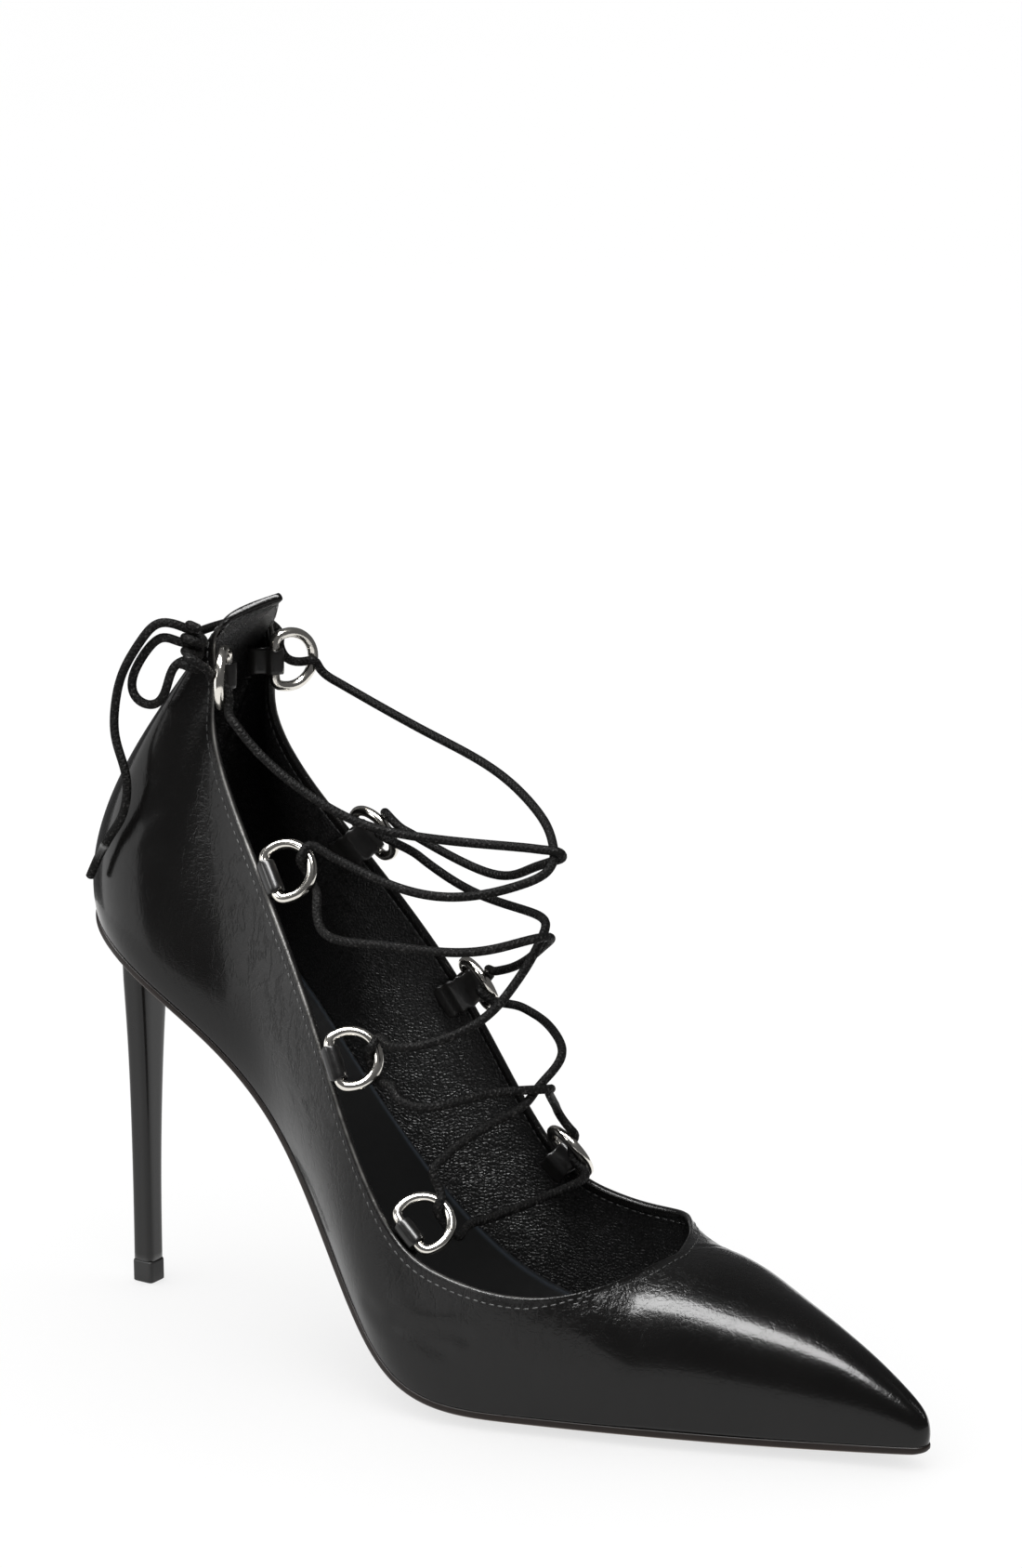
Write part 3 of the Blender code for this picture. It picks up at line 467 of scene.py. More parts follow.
def shell(side, share, inset, s):
    """Wall of one side: a cubic from the feather line by two handles to the topline or ridge; s is its parameter."""
    share = np.asarray(share, float)
    foot, out = wall_foot(side, inset, share)
    row = wall_top(share)
    top = top_point(side, row)
    turn = np.radians(row[:, TURN])
    lean = np.radians(np.clip(row[:, [LEAN]], 0, 90))
    flare = np.radians(row[:, [FLARE]])
    bearing = np.stack([-np.cos(turn), side * np.sin(turn), np.zeros(len(turn))], 1)
    normal = bearing * np.sin(lean) + UP * np.cos(lean)
    arrive = unit(UP * np.sin(lean) - bearing * np.cos(lean) + row[:, [SLIDE]] * (1.0, 0.0, 0.0))
    ahead, behind = (top_point(side, wall_top(share + d)) for d in (0.004, -0.004))
    square = -side * unit(np.cross(ahead - behind, arrive))
    weight = (fade_in(share, 0.0, 0.06) * fade_out(share, 0.58, 0.12))[:, None]
    normal = unit(normal * (1 - weight) + square * weight)
    top = top - normal * inset
    late = fade_in(share, THROAT, 1 - THROAT)
    top[:, 0] -= 2.6 * inset * late**2
    chord = np.linalg.norm(top - foot, axis=1, keepdims=True)
    low = foot + row[:, [LOW]] * chord * (out * np.sin(flare) + UP * np.cos(flare))
    high = top - row[:, [HIGH]] * chord * arrive
    s = np.asarray(s, float)
    s = (s[None, :] if s.ndim == 1 else s)[..., None]
    f, lo, hi, t = (p[:, None, :] for p in (foot, low, high, top))
    return f * (1 - s) ** 3 + 3 * lo * s * (1 - s) ** 2 + 3 * hi * s**2 * (1 - s) + t * s**3


def wall_reach(share):
    """Millimetres of wall for one whole step of the parameter at the topline, never under one."""
    row = wall_top(share)
    chord = top_point(-1, row) - wall_foot(-1, 0.0, share)[0]
    return np.maximum(3 * row[:, HIGH] * np.linalg.norm(chord, axis=1), 1.0)


def around(near, far):
    """One closed round of stations from the two sides, heel middle first."""
    return np.concatenate([near, far[-2:0:-1]])


def quads(rows, columns, wrap_rows=False, wrap_columns=False):
    """Corner numbers of the cells of a grid, as an array."""
    i = np.arange(rows if wrap_rows else rows - 1)[:, None]
    k = np.arange(columns if wrap_columns else columns - 1)[None, :]
    j, m = (i + 1) % rows, (k + 1) % columns
    return np.stack([i * columns + k, j * columns + k, j * columns + m, i * columns + m], -1).reshape(-1, 4)


def piece(name, points, cells, finish, replaced=(), marks=None, merge=0.002):
    """A mesh from points in millimetres and cells: doubles are merged and the normals turned outwards."""
    mesh = bpy.data.meshes.new(name)
    mesh.from_pydata((np.asarray(points).reshape(-1, 3) * MM).tolist(), [], np.asarray(cells).tolist())
    for word, value in (marks or {}).items():
        values = np.asarray(value, np.float32).reshape(-1)
        mesh.attributes.new(word, "FLOAT", "POINT").data.foreach_set("value", values)
    work = bmesh.new()
    work.from_mesh(mesh)
    bmesh.ops.remove_doubles(work, verts=work.verts, dist=merge * MM)
    bmesh.ops.dissolve_degenerate(work, edges=work.edges, dist=1e-7)
    bmesh.ops.recalc_face_normals(work, faces=work.faces)
    work.to_mesh(mesh)
    work.free()
    mesh.polygons.foreach_set("use_smooth", [True] * len(mesh.polygons))
    mesh.materials.append(finish)
    obj = bpy.data.objects.new(name, mesh)
    bpy.context.scene.collection.objects.link(obj)
    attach(obj, "root")
    if replaced:
        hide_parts(*replaced)
    return obj


def carried(path, section, one, two, size=1.0):
    """Grid of a section along a path: path + (first number times one + second number times two) times size."""
    one, two = (np.reshape(axis, (-1, 1, 3)) for axis in (one, two))
    return path[:, None] + (section[:, :1] * one + section[:, 1:] * two) * size


def sleeve(name, grid, look, replaced=(), marks=None, ring=False):
    """A piece whose grid closes round its columns, and along its rows too where it is a ring."""
    return piece(name, grid, quads(*grid.shape[:2], ring, True), finish(look), replaced, marks)


class Value:
    """A shader value that takes + - and * with numbers and other values."""

    def __init__(self, tree, socket):
        self.tree = tree
        self.socket = socket

    def math(self, kind, *parts):
        node = self.tree.nodes.new("ShaderNodeMath")
        node.operation = kind
        for slot, part in zip(node.inputs, parts):
            if isinstance(part, Value):
                self.tree.links.new(part.socket, slot)
            else:
                slot.default_value = part
        return Value(self.tree, node.outputs[0])

    def __add__(self, other):
        return self.math("ADD", self, other)

    def __radd__(self, other):
        return self.math("ADD", other, self)

    def __sub__(self, other):
        return self.math("SUBTRACT", self, other)

    def __rsub__(self, other):
        return self.math("SUBTRACT", other, self)

    def __mul__(self, other):
        return self.math("MULTIPLY", self, other)

    def sine(self):
        return self.math("SINE", self)

    def size(self):
        return self.math("ABSOLUTE", self)

    def bounded(self, low=0.0, high=1.0):
        return self.math("MINIMUM", self.math("MAXIMUM", self, low), high)


class Finish:
    """One material: its tree, its shader and the ways to put nodes in it."""

    def __init__(self, name, **fixed):
        self.material = bpy.data.materials.new(name)
        self.material.use_nodes = True
        self.tree = self.material.node_tree
        self.shader = self.tree.nodes["Principled BSDF"]
        for word, value in fixed.items():
            self.shader.inputs[word.replace("_", " ")].default_value = value
        self.place = self.node("ShaderNodeTexCoord", out="Object")

    def node(self, kind, settings=None, out=0, **inputs):
        """A node of that type with its settings, then the values or links of its sockets; gives one output."""
        node = self.tree.nodes.new(kind)
        for word, value in (settings or {}).items():
            if word == "stops":
                for index, (spot, tone) in enumerate(value):
                    stop = node.color_ramp.elements[index] if index < 2 else node.color_ramp.elements.new(spot)
                    stop.position = spot
                    stop.color = (tone, tone, tone, 1.0)
            else:
                setattr(node, word, value)
        for word, value in inputs.items():
            slot = node.inputs[int(word[1:])] if word[0] == "_" else node.inputs[word.replace("_", " ")]
            if isinstance(value, Value):
                self.tree.links.new(value.socket, slot)
            else:
                slot.default_value = value
        return Value(self.tree, node.outputs[out])

    def stretched(self, x, y, z, turn=(0.0, 0.0, 0.0)):
        """The piece's own coordinates, scaled and turned."""
        return self.node("ShaderNodeMapping", Vector=self.place, Scale=(x, y, z), Rotation=turn)

    def noise(self, scale, detail=3.0, rough=0.5, vector=None):
        return self.node("ShaderNodeTexNoise", Vector=vector or self.place, Scale=scale, Detail=detail,
                         Roughness=rough)

    def cells(self, scale, vector=None, feature="DISTANCE_TO_EDGE"):
        return self.node("ShaderNodeTexVoronoi", {"feature": feature}, Vector=vector or self.place, Scale=scale)

    def mark(self, word):
        return self.node("ShaderNodeAttribute", {"attribute_name": word}, out="Fac")

    def ramp(self, value, *stops):
        return self.node("ShaderNodeValToRGB", {"stops": stops}, Fac=value)

    def mixed(self, mask, one, two):
        """Colour between two colours or tones by a mask."""
        return self.node("ShaderNodeMix", {"data_type": "RGBA"}, out=2, _0=mask, _6=one, _7=two)

    def bump(self, height, depth, strength=1.0, below=None):
        more = {"Normal": below} if below else {}
        return self.node("ShaderNodeBump", Height=height, Distance=depth * MM, Strength=strength, **more)

    def clouded(self, mask, dark, light, rough, spread, relief, **more):
        """Colour and roughness between two ends by one mask, over a relief."""
        return self.feed(
            Base_Color=self.mixed(mask, dark, light), Roughness=rough + mask * spread, Normal=relief, **more)

    def feed(self, **links):
        for word, value in links.items():
            self.tree.links.new(value.socket, self.shader.inputs[word.replace("_", " ")])
        return self.material


FINISHES = {}


def finish(name):
    """The finish of that name, made on first use."""
    if name not in FINISHES:
        FINISHES[name] = {
            "calf": glossy_calf, "lining": grained_lining, "sock": smooth_sock, "sole": sole_leather,
            "heel": heel_cover, "lift": lift_rubber, "silver": polished_silver, "cord": waxed_cord,
            "thread": black_thread, "tip": glued_tip, "tab": tab_leather, "floor": studio_floor,
        }[name]()
    return FINISHES[name]


def grey(value):
    return (value, value, value, 1.0)


def tone(colour, factor=1.0):
    return tuple(min(c * factor, 1.0) for c in colour) + (1.0,)


def glossy_calf():
    """Box calf with a glazed finish: long fine wrinkles, pores, cloudy gloss and a pale grey highlight painted along
    the topline's rolled edge.
    """
    f = Finish("glossy_calf", IOR=1.5, Specular_IOR_Level=0.24, Coat_Roughness=0.06, Coat_IOR=1.2)
    c = colours().calf
    worn = f.mark("worn")
    lines = f.noise(170.0, 4.0, 0.62, f.stretched(1.0, 0.6, 0.40, (0.0, 0.35, 0.2)))
    folds = f.noise(480.0, 3.0, 0.6, f.stretched(0.5, 0.7, 1.0, (0.0, -0.4, 0.0)))
    across = f.noise(620.0, 4.0, 0.62, f.stretched(1.0, 0.45, 0.9, (0.3, 0.2, 0.5)))
    pores = f.noise(2600.0, 2.0, 0.5)
    hair = (1.0 - ((lines - 0.5).size() * 30.0).bounded()) * worn
    veins = (1.0 - ((folds - 0.5).size() * 15.0).bounded()) * worn
    cloud = f.noise(22.0, 3.0, 0.55)
    height = hair * -0.75 + veins * -0.45 + across * (0.20 + worn * 0.50) + pores * 0.07
    # Painted highlight: the edge mark, broken up by noise, sets a pale grey colour along the topline's rolled edge
    # in place of the light it reflects.
    edge = f.mark("edge") * f.ramp(f.noise(240.0, 2.0), (0.30, 0.25), (0.62, 1.0))
    # The base colour is cloudy calf, turning pale grey where the topline highlight is painted.
    return f.feed(
        Base_Color=f.mixed(edge, f.mixed(f.ramp(cloud, (0.35, 0.0), (0.7, 1.0)), tone(c, 0.8), tone(c, 1.5)),
                           (0.42, 0.41, 0.39, 1.0)),
        Roughness=0.18 + cloud * 0.07 + hair * 0.10 + worn * 0.07,
        Coat_Weight=(0.6 - hair * 0.4 - worn * 0.3).bounded(),
        Normal=f.bump(height, 0.16, 0.6),
    )


def grained_lining():
    """Fine pebbled goat lining, soft sheen."""
    f = Finish("grained_lining", IOR=1.45, Specular_IOR_Level=0.5)
    c = colours().lining
    warp = f.node("ShaderNodeMix", {"data_type": "VECTOR"}, out=1, _0=0.0012,
                  _4=f.place, _5=f.node("ShaderNodeTexNoise", out="Color", Vector=f.place, Scale=160.0))
    pebble = f.cells(1250.0, warp)
    cloud = f.noise(30.0, 3.0)
    height = f.ramp(pebble, (0.0, 0.0), (0.28, 1.0)) * 0.7 + f.noise(1500.0, 2.0) * 0.25
    return f.feed(
        Base_Color=f.mixed(f.ramp(pebble, (0.0, 0.0), (0.3, 1.0)), tone(c, 0.5), tone(c, 1.5)),
        Roughness=0.30 + cloud * 0.14,
        Normal=f.bump(height, 0.16, 0.9),
    )


def smooth_sock():
    """Plain insole leather with a faint bluish sheen painted along its rolled edge."""
    f = Finish("smooth_sock", IOR=1.45, Specular_IOR_Level=0.25)
    c = colours().sock
    # Painted sheen: the edge mark turns the colour a lighter bluish grey in a narrow band by the rolled edge.
    edge = f.mark("edge")
    return f.feed(
        Base_Color=f.mixed(edge, tone(c), (0.042, 0.054, 0.070, 1.0)),
        Roughness=0.40 + f.noise(35.0) * 0.14,
        Normal=f.bump(f.noise(1300.0, 3.0), 0.05, 0.5),
    )


def sole_leather():
    """Inked leather sole: dark edge, slightly lighter lower line and a satin underside."""
    f = Finish("sole_leather", IOR=1.45, Specular_IOR_Level=0.3)
    c = colours().sole
    low = f.mark("low")
    grain = f.noise(240.0, 4.0, 0.6, f.stretched(0.4, 1.0, 1.0))
    return f.feed(
        Base_Color=f.mixed(low, f.mixed(grain, tone(c, 0.7), tone(c, 1.5)), (0.16, 0.115, 0.085, 1.0)),
        Roughness=0.34 + grain * 0.2,
        Normal=f.bump(grain, 0.05, 0.5),
    )


def heel_cover():
    """Lacquered leather over the heel block."""
    f = Finish("heel_cover", IOR=1.5, Specular_IOR_Level=0.25, Coat_Roughness=0.05, Coat_IOR=1.3)
    c = colours().calf
    cloud = f.noise(60.0, 3.0, 0.6, f.stretched(1.0, 1.0, 0.3))
    relief = f.bump(f.noise(700.0, 3.0), 0.03, 0.5)
    return f.clouded(cloud, tone(c), tone(c, 2.0), 0.22, 0.14, relief, Coat_Weight=0.5 + cloud * 0.2)


def lift_rubber():
    """Matt black rubber with fine scuffs."""
    f = Finish("lift_rubber", IOR=1.45)
    speck = f.noise(1500.0, 3.0)
    return f.clouded(speck, grey(0.010), (0.022, 0.021, 0.020, 1.0), 0.48, 0.2, f.bump(speck, 0.05, 0.5))


def polished_silver():
    """Pale polished metal with faint haze."""
    f = Finish("polished_silver", Metallic=1.0)
    haze = f.noise(420.0, 3.0)
    c = colours().metal
    return f.clouded(haze, tone(c, 0.94), tone(c, 1.04), 0.10, 0.09, f.bump(f.noise(900.0, 2.0), 0.02, 0.25))


def waxed_cord():
    """Round braided cotton cord, waxed: two sets of strands wind about it, with smoother waxed specks painted
    lighter, partly their own colour and partly painted glints.
    """
    f = Finish("waxed_cord", IOR=1.3, Specular_IOR_Level=0.16)
    c = colours().cord
    angle = f.mark("sine").math("ARCTAN2", f.mark("sine"), f.mark("cosine"))
    along = f.mark("along")
    one = (along * 5.2 + angle * 4.0).sine()
    two = (along * 5.2 - angle * 4.0).sine()
    braid = one.math("MAXIMUM", one, two)
    fuzz = f.noise(2400.0, 3.0, 0.6)
    # Waxed specks: smoother and lighter in colour, partly their own colour and partly painted glints.
    wax_glint = f.ramp(f.noise(1500.0, 3.0, 0.6), (0.55, 0.0), (0.66, 1.0))
    return f.feed(
        Base_Color=f.mixed(wax_glint, tone(c, 0.8), tone(c, 5.0)),
        Roughness=(0.60 - wax_glint * 0.36).bounded(),
        Normal=f.bump(braid * 0.6 + fuzz * 0.7, 0.16, 0.9),
    )


def black_thread():
    """Twisted polyester thread."""
    f = Finish("black_thread", IOR=1.5)
    twist = f.noise(3000.0, 2.0)
    return f.clouded(twist, grey(0.012), grey(0.05), 0.34, 0.2, f.bump(twist, 0.05, 0.5))


def glued_tip():
    """Cord end dipped in clear glue."""
    f = Finish("glued_tip", IOR=1.5)
    streak = f.noise(900.0, 3.0, 0.6)
    return f.feed(
        Base_Color=f.mixed(f.mark("ring"), grey(0.010), grey(0.12)),
        Roughness=0.18 + streak * 0.2,
        Normal=f.bump(streak, 0.08, 0.6),
    )


def tab_leather():
    """Thin folded strip of the calf, ribbed by its folds."""
    f = Finish("tab_leather", IOR=1.5, Specular_IOR_Level=0.3, Coat_Roughness=0.08, Coat_IOR=1.35)
    c = colours().calf
    grain = f.noise(900.0, 4.0, 0.6)
    cloud = f.noise(260.0, 3.0, 0.6)
    relief = f.bump(grain * 0.5 + cloud * 0.5, 0.14, 0.6)
    return f.clouded(cloud, tone(c), tone(c, 2.2), 0.24, 0.16, relief, Coat_Weight=0.45 + cloud * 0.1)


def studio_floor():
    """Plain pale sheet."""
    f = Finish("studio_floor", Emission_Strength=0.70, Emission_Color=grey(1.0), Specular_IOR_Level=0.1)
    cloud = f.noise(0.8, 2.0)
    c = colours().floor
    return f.feed(Base_Color=f.mixed(cloud, tone(c, 0.99), tone(c, 1.01)), Roughness=0.7 + cloud * 0.1)


def normals(grid, side):
    """Outward directions of a wall grid, from its two differences."""
    along = np.gradient(grid, axis=0)
    rise = np.gradient(grid, axis=1)
    return unit(np.cross(along, rise)) * -side


def crease_height(points):
    """Sum over the crease rows of depth times a small ridge beside the bowed line less a bell on the line."""
    total = np.zeros(len(points))
    for side, u0, s0, u1, s1, bow, width, depth in CREASES:
        t = np.linspace(0, 1, 9)
        u = u0 + (u1 - u0) * t
        s = s0 + (s1 - s0) * t + bow * np.sin(math.pi * t)
        line = shell(side, u, 0.0, s[:, None])[:, 0]
        near = np.full(len(points), 1e9)
        for a, b in zip(line[:-1], line[1:]):
            share = np.clip((points - a) @ (b - a) / np.dot(b - a, b - a), 0, 1)
            near = np.minimum(near, np.linalg.norm(points - a - share[:, None] * (b - a), axis=1))
        ridge = bell(near, 1.5 * width, width) * 0.45
        total += depth * (ridge - bell(near, 0.0, width))
    return total * sizes().crease


def eased(near, far, share, s):
    """Both walls with each inner place moved towards the mean of its four neighbours, round the throat and vamp."""
    weight = fade_in(share, 0.60, 0.05) * fade_out(share, 0.97, 0.06)
    weight = 0.5 * weight[:, None, None] * fade_in(s, 0.0, 0.12)[None, :, None]
    ridge = np.where(share > THROAT)[0][:-1]
    for _ in range(EASING_PASSES):
        moved = []
        for grid, other in ((near, far), (far, near)):
            mean = grid.copy()
            mean[1:-1, 1:-1] = (grid[:-2, 1:-1] + grid[2:, 1:-1] + grid[1:-1, :-2] + grid[1:-1, 2:]) / 4
            beside = (grid[ridge, -2] + other[ridge, -2]) / 4
            mean[ridge, -1] = (grid[ridge - 1, -1] + grid[ridge + 1, -1]) / 4 + beside
            moved.append(grid + weight * (mean - grid))
        near, far = moved
    return near, far


def leather_walls(share, steps):
    """Outer walls of both sides with their creases: point = shell + normal times crease height."""
    s = np.linspace(0, 1, steps + 1)
    near, far = eased(*(shell(side, share, 0.0, s) for side in (-1, 1)), share, s)
    way = [normals(near, -1), normals(far, 1)]
    late = share >= THROAT
    middle = unit(way[0][late, -1] + way[1][late, -1])
    way[0][late, -1] = middle
    way[1][late, -1] = middle
    walls = []
    for grid, out in zip((near, far), way):
        height = crease_height(grid.reshape(-1, 3)).reshape(grid.shape[:2])
        start = fade_in(s, 0.0, 0.05)[None, :]
        fade = np.where(late[:, None], start, start * fade_out(s, 1.0, 0.04)[None, :])
        fade[[0, -1]] = 0.0
        walls.append(grid + out * (height * fade)[..., None])
    return walls


def lip_share(share, lip):
    """Wall parameter that lies lip millimetres under the edge, running out to the edge itself at the throat."""
    return 1 - lip * fade_out(share, 0.69, 0.08) / wall_reach(share)


def all_round(sides, share, open_columns):
    """Grid from both sides' grids, its shares and its cells, less the columns that the ridge leaves open."""
    grid = around(*sides)
    shares = around(share, share)
    rows, columns = grid.shape[:2]
    cells = quads(rows, columns, True, True).reshape(rows, columns, 4)
    late = np.maximum(shares, np.roll(shares, -1)) > THROAT + 1e-9
    keep = np.ones((rows, columns), bool)
    keep[late, open_columns] = False
    return grid, shares, cells[keep]


def build_upper_leather():
    """Outer leather: creased wall up to the topline, a half round over the edge, a lip inside and a hidden back."""
    share = stations([84, 92, 44, 52, 34])
    steps = 60
    outer = leather_walls(share, steps)
    lip = lip_share(share, 1.6)[:, None]
    sides = []
    for side, wall in zip((-1, 1), outer):
        inner_top = shell(side, share, WALL, np.array([1.0]))[:, 0]
        outer_top = wall[:, -1]
        edge = unit(np.gradient(outer_top, axis=0))
        across = outer_top - inner_top
        way = unit(np.cross(edge, across)) * side
        flip = np.sign(np.sum(way * (wall[:, -1] - wall[:, -3]), axis=1, keepdims=True))
        way = np.where((share < 0.6)[:, None], way * np.where(flip == 0, 1, flip), way)
        way[0] = unit(way[1] * (1, 0, 1))
        throat = np.argmin(np.abs(share - THROAT))
        way[throat] = unit(way[throat - 1] * (1, 0, 1))
        turn = np.radians(np.linspace(0, 180, 8))[1:-1]
        section = np.stack([np.cos(turn), np.sin(turn)], 1)
        roll = carried((outer_top + inner_top) / 2, section, across / 2, way * 0.62)
        inside = shell(side, share, WALL, 1 - (1 - lip) * np.linspace(0, 1, 4)[None, :])
        hidden = shell(side, share, 1.1, lip * np.linspace(1, 0, 9)[None, :])
        sides.append(np.concatenate([wall, roll, inside, hidden], axis=1))
    grid, shares, cells = all_round(sides, share, slice(steps, steps + 10))
    level = np.clip(np.arange(grid.shape[1]) / steps, 0, 1)[None, :]
    place = shares[:, None]
    rim = bell(level, 1.0, 0.30)
    throat = bell(place, 0.70, 0.07) * bell(level, 1.0, 0.42)
    quarter = bell(place, 0.33, 0.09) * bell(level, 0.68, 0.26)
    worn = np.clip(0.16 + 0.30 * rim + 0.9 * throat + 0.85 * quarter, 0, 1)
    # Painted highlight: a band of marks on the rolled topline edge, strongest along the quarters, where the calf
    # finish paints a pale grey highlight.
    edge = np.zeros(grid.shape[:2])
    collar_highlight = bell(shares, 0.30, 0.16) + 0.35 * bell(shares, 0.60, 0.10)
    edge[:, steps + 1 : steps + 4] = (collar_highlight * (shares < THROAT))[:, None] * (0.2, 1.0, 0.1)
    piece("upper_leather", grid, cells, finish("calf"), ("upper",), {"worn": worn, "edge": edge})


def build_lining():
    """Lining: visible inner wall a little behind the leather's lip, with a hidden back, closed at top and foot."""
    share = stations([60, 60, 34, 36, 20])
    top = lip_share(share, 1.3)[:, None]
    sides = []
    for side in (-1, 1):
        inside = shell(side, share, WALL - 0.12, top * np.linspace(0, 1, 33)[None, :])
        back = shell(side, share, 1.15, top * np.linspace(1, 0, 9)[None, :])
        sides.append(np.concatenate([inside, back], axis=1))
    grid, _, cells = all_round(sides, share, 32)
    piece("upper_lining", grid, cells, finish("lining"))


def plate_point(x, y, depth):
    """A point pushed square to the feather surface, down by depth."""
    slope = feather_height(x + 0.5) - feather_height(x - 0.5)
    size = np.sqrt(1 + slope**2)
    return np.stack([x + depth * slope / size, y, feather_height(x) - depth / size], -1)


def sole_depth(x, across):
    """How far the outsole's underside lies below the feather surface: thin edge, fuller middle under the ball."""
    share = (x + SEAT_BACK) / LENGTH
    full = fade_in(share, 0.42, 0.10) * fade_out(share, 0.90, 0.14)
    belly = 0.3 + 3.2 * full**1.5
    return GAP + 1.8 + belly * (1 - np.abs(across) ** 2.2)


def plate_row(share, inset, across, depth):
    """Part of a plate's section: places between the outlines, pushed down by a depth or by depth(x, across)."""
    near, _ = on_outline(outline(-1, inset), share)
    far, _ = on_outline(outline(1, inset), share)
    mix = (np.asarray(across)[None, :, None] + 1) / 2
    flat = near[:, None, :] * (1 - mix) + far[:, None, :] * mix
    x, y = flat[..., 0].reshape(-1), flat[..., 1].reshape(-1)
    place = np.tile(across, (len(share), 1))
    place[[0, -1]] = 1.0
    grid = plate_point(x, y, depth(x, place.reshape(-1)) if callable(depth) else depth)
    return grid.reshape(len(share), len(across), 3)


def build_sole():
    """Outsole: section of a flat top, a rounded edge each side and a fuller underside, carried heel to toe."""
    share = stations([60, 70, 24, 40, 26])
    across = np.linspace(-1, 1, 25)
    rows = [plate_row(share, 0.15, across, 0.02)]
    rows += [plate_row(share, inset, across[-1:], depth) for inset, depth in SOLE_EDGE]
    rows.append(plate_row(share, 0.9, across[::-1], sole_depth))
    rows += [plate_row(share, inset, across[:1], depth) for inset, depth in SOLE_EDGE[::-1]]
    grid = np.concatenate(rows, axis=1)
    grid[..., 2] = np.maximum(grid[..., 2], 0.0)
    low = np.zeros(grid.shape[:2])
    low[:, [29, 55]] = 1.0
    sleeve("sole_edge", grid, "sole", ("outsole",), {"low": low})


def build_sock():
    """Insole sock: top crowned by its edge's soft roll, with a plain underside."""
    share = stations([50, 60, 24, 36, 16])
    across = np.linspace(-1, 1, 33)
    top = plate_row(share, WALL - 0.1, across, lambda x, v: -2.0 + 0.5 * np.abs(v) ** 14)
    low = plate_row(share, WALL + 0.3, across[::-1], -0.2)
    # Painted sheen: a narrow band by the top's rolled edge, marked for the sock finish's lighter bluish colour.
    edge = np.tile(bell(np.abs(across), 0.93, 0.018), (len(share), 1))
    edge = np.concatenate([edge, np.zeros_like(edge)], axis=1)
    sleeve("insole_sock", np.concatenate([top, low], axis=1), "sock", ("insole",), {"edge": edge})


def signed_power(value, power):
    return np.sign(value) * np.abs(value) ** power


def rounded_square(x, deep, broad, power):
    """Each side is the signed power of cosine and sine."""
    turn = round_turn(HEEL_CORNERS) + math.pi / HEEL_CORNERS
    across, along = signed_power(np.sin(turn), 2.0 / power), signed_power(np.cos(turn), 2.0 / power)
    return np.stack([x + deep * along, broad * across], 1)


def level_ring(flat, z):
    return np.column_stack([flat, np.full(len(flat), z)])


def under_sole(x, y):
    """Height of the outsole's underside at a place near the heel."""
    at = np.array(x, float)
    for _ in range(6):
        line = np.clip(np.abs(y) / (HEEL_WIDTH / 2), 0, 1)
        point = plate_point(at, y, sole_depth(at, line) - 0.1)
        at = at + (x - point[:, 0])
    return point[:, 2]


def build_heel():
    """Covered heel: rounded squares through the rows, flaring by a power law into the seat under the sole."""
    rows = np.array(HEEL_ROWS)
    heights = np.linspace(rows[0, 0], rows[-1, 0], 40)
    sizes_at = spline(rows[:, 0], rows[:, 1:], heights)
    rings = [level_ring(rounded_square(*section, 4.5), z) for z, section in zip(heights, sizes_at)]
    column = rings[-1]
    seat = rounded_square(*HEEL_SEAT, 2.6)
    seat = np.column_stack([seat, under_sole(seat[:, 0], seat[:, 1])])
    for s in np.linspace(0, 1, 26)[1:]:
        ring = column + (seat - column) * s
        ring[:, :2] = column[:, :2] + (seat[:, :2] - column[:, :2]) * (0.12 * s + 0.88 * s**4)
        rings.append(ring)
    middle = seat[:, :2].mean(axis=0)
    for s in (0.7, 0.35, 0.0):
        flat = middle + (seat[:, :2] - middle) * s
        rings.append(np.column_stack([flat, under_sole(flat[:, 0], flat[:, 1])]))
    low = rings[0]
    centre = low.mean(axis=0)
    start = [centre + (low - centre) * s for s in (0.0, 0.6, 0.93)]
    low[:, 2] += 0.12
    sleeve("heel_cover", np.array(start + rings), "heel", ("heel",))
    flat = rounded_square(0.0, LIFT_HALF, LIFT_HALF - 0.1, 7.0)
    top = TIP_HEIGHT + 0.28
    levels = ((0, 0), (0, 0.7), (0, 0.95), (0.18, 1), (2.0, 1.0), (top - 0.43, 1), (top - 0.08, 0.97),
              (top, 0.6), (top, 0))
    lift = np.array([level_ring(flat * s, z) for z, s in levels])
    sleeve("top_lift_rubber", lift, "lift", ("top_lift",))


def rim_frame(side, foot):
    """At a place on the topline: its point, the run forwards, the way up the wall and the way inside."""
    share = np.array([foot - 0.01, foot, foot + 0.01])
    grid = shell(side, share, 0.0, np.linspace(0, 1, 13))
    run = unit(grid[2, -1] - grid[0, -1])
    rise = unit(grid[1, -1] - grid[1, -3])
    rise = unit(rise - run * np.dot(rise, run))
    inside = np.cross(run, rise) * side
    if inside[1] * side > 0:
        inside = -inside
    return grid[1, -1], run, rise, unit(inside)


def bar_rise():
    """Height of a ring's bar over the topline: room for its tab between them."""
    return wire_width() / 2 + 2 * GAP + TAB_LEATHER + BAR_ROOM


def ring_names():
    """Name ending, side and row of each ring."""
    return [(f"{word}_{number}", side, row) for number, row in enumerate(RING_ROWS, start=1)
            for word, side in (("near", -1), ("far", 1))]


def ring_layout(side, row):
    """Bar centre and axes of one ring: along the bar, out to the arc, up the wall and inside."""
    rim, run, rise, inside = rim_frame(side, row[0] if side < 0 else row[1])
    bar = rim + inside * (WALL * 0.5 + row[3]) + rise * bar_rise()
    angle = math.radians(row[2])
    out = rise * math.cos(angle) + inside * math.sin(angle)
    return bar, run, out, rise, inside


def ring_circle():
    """Radius of a ring's arc, height of its centre over the bar, and the angle where it meets the bar."""
    half = (RING_LONG - wire_width()) / 2
    centre = RING_WIDE - wire_width() - half
    return half, centre, -math.asin(centre / half)


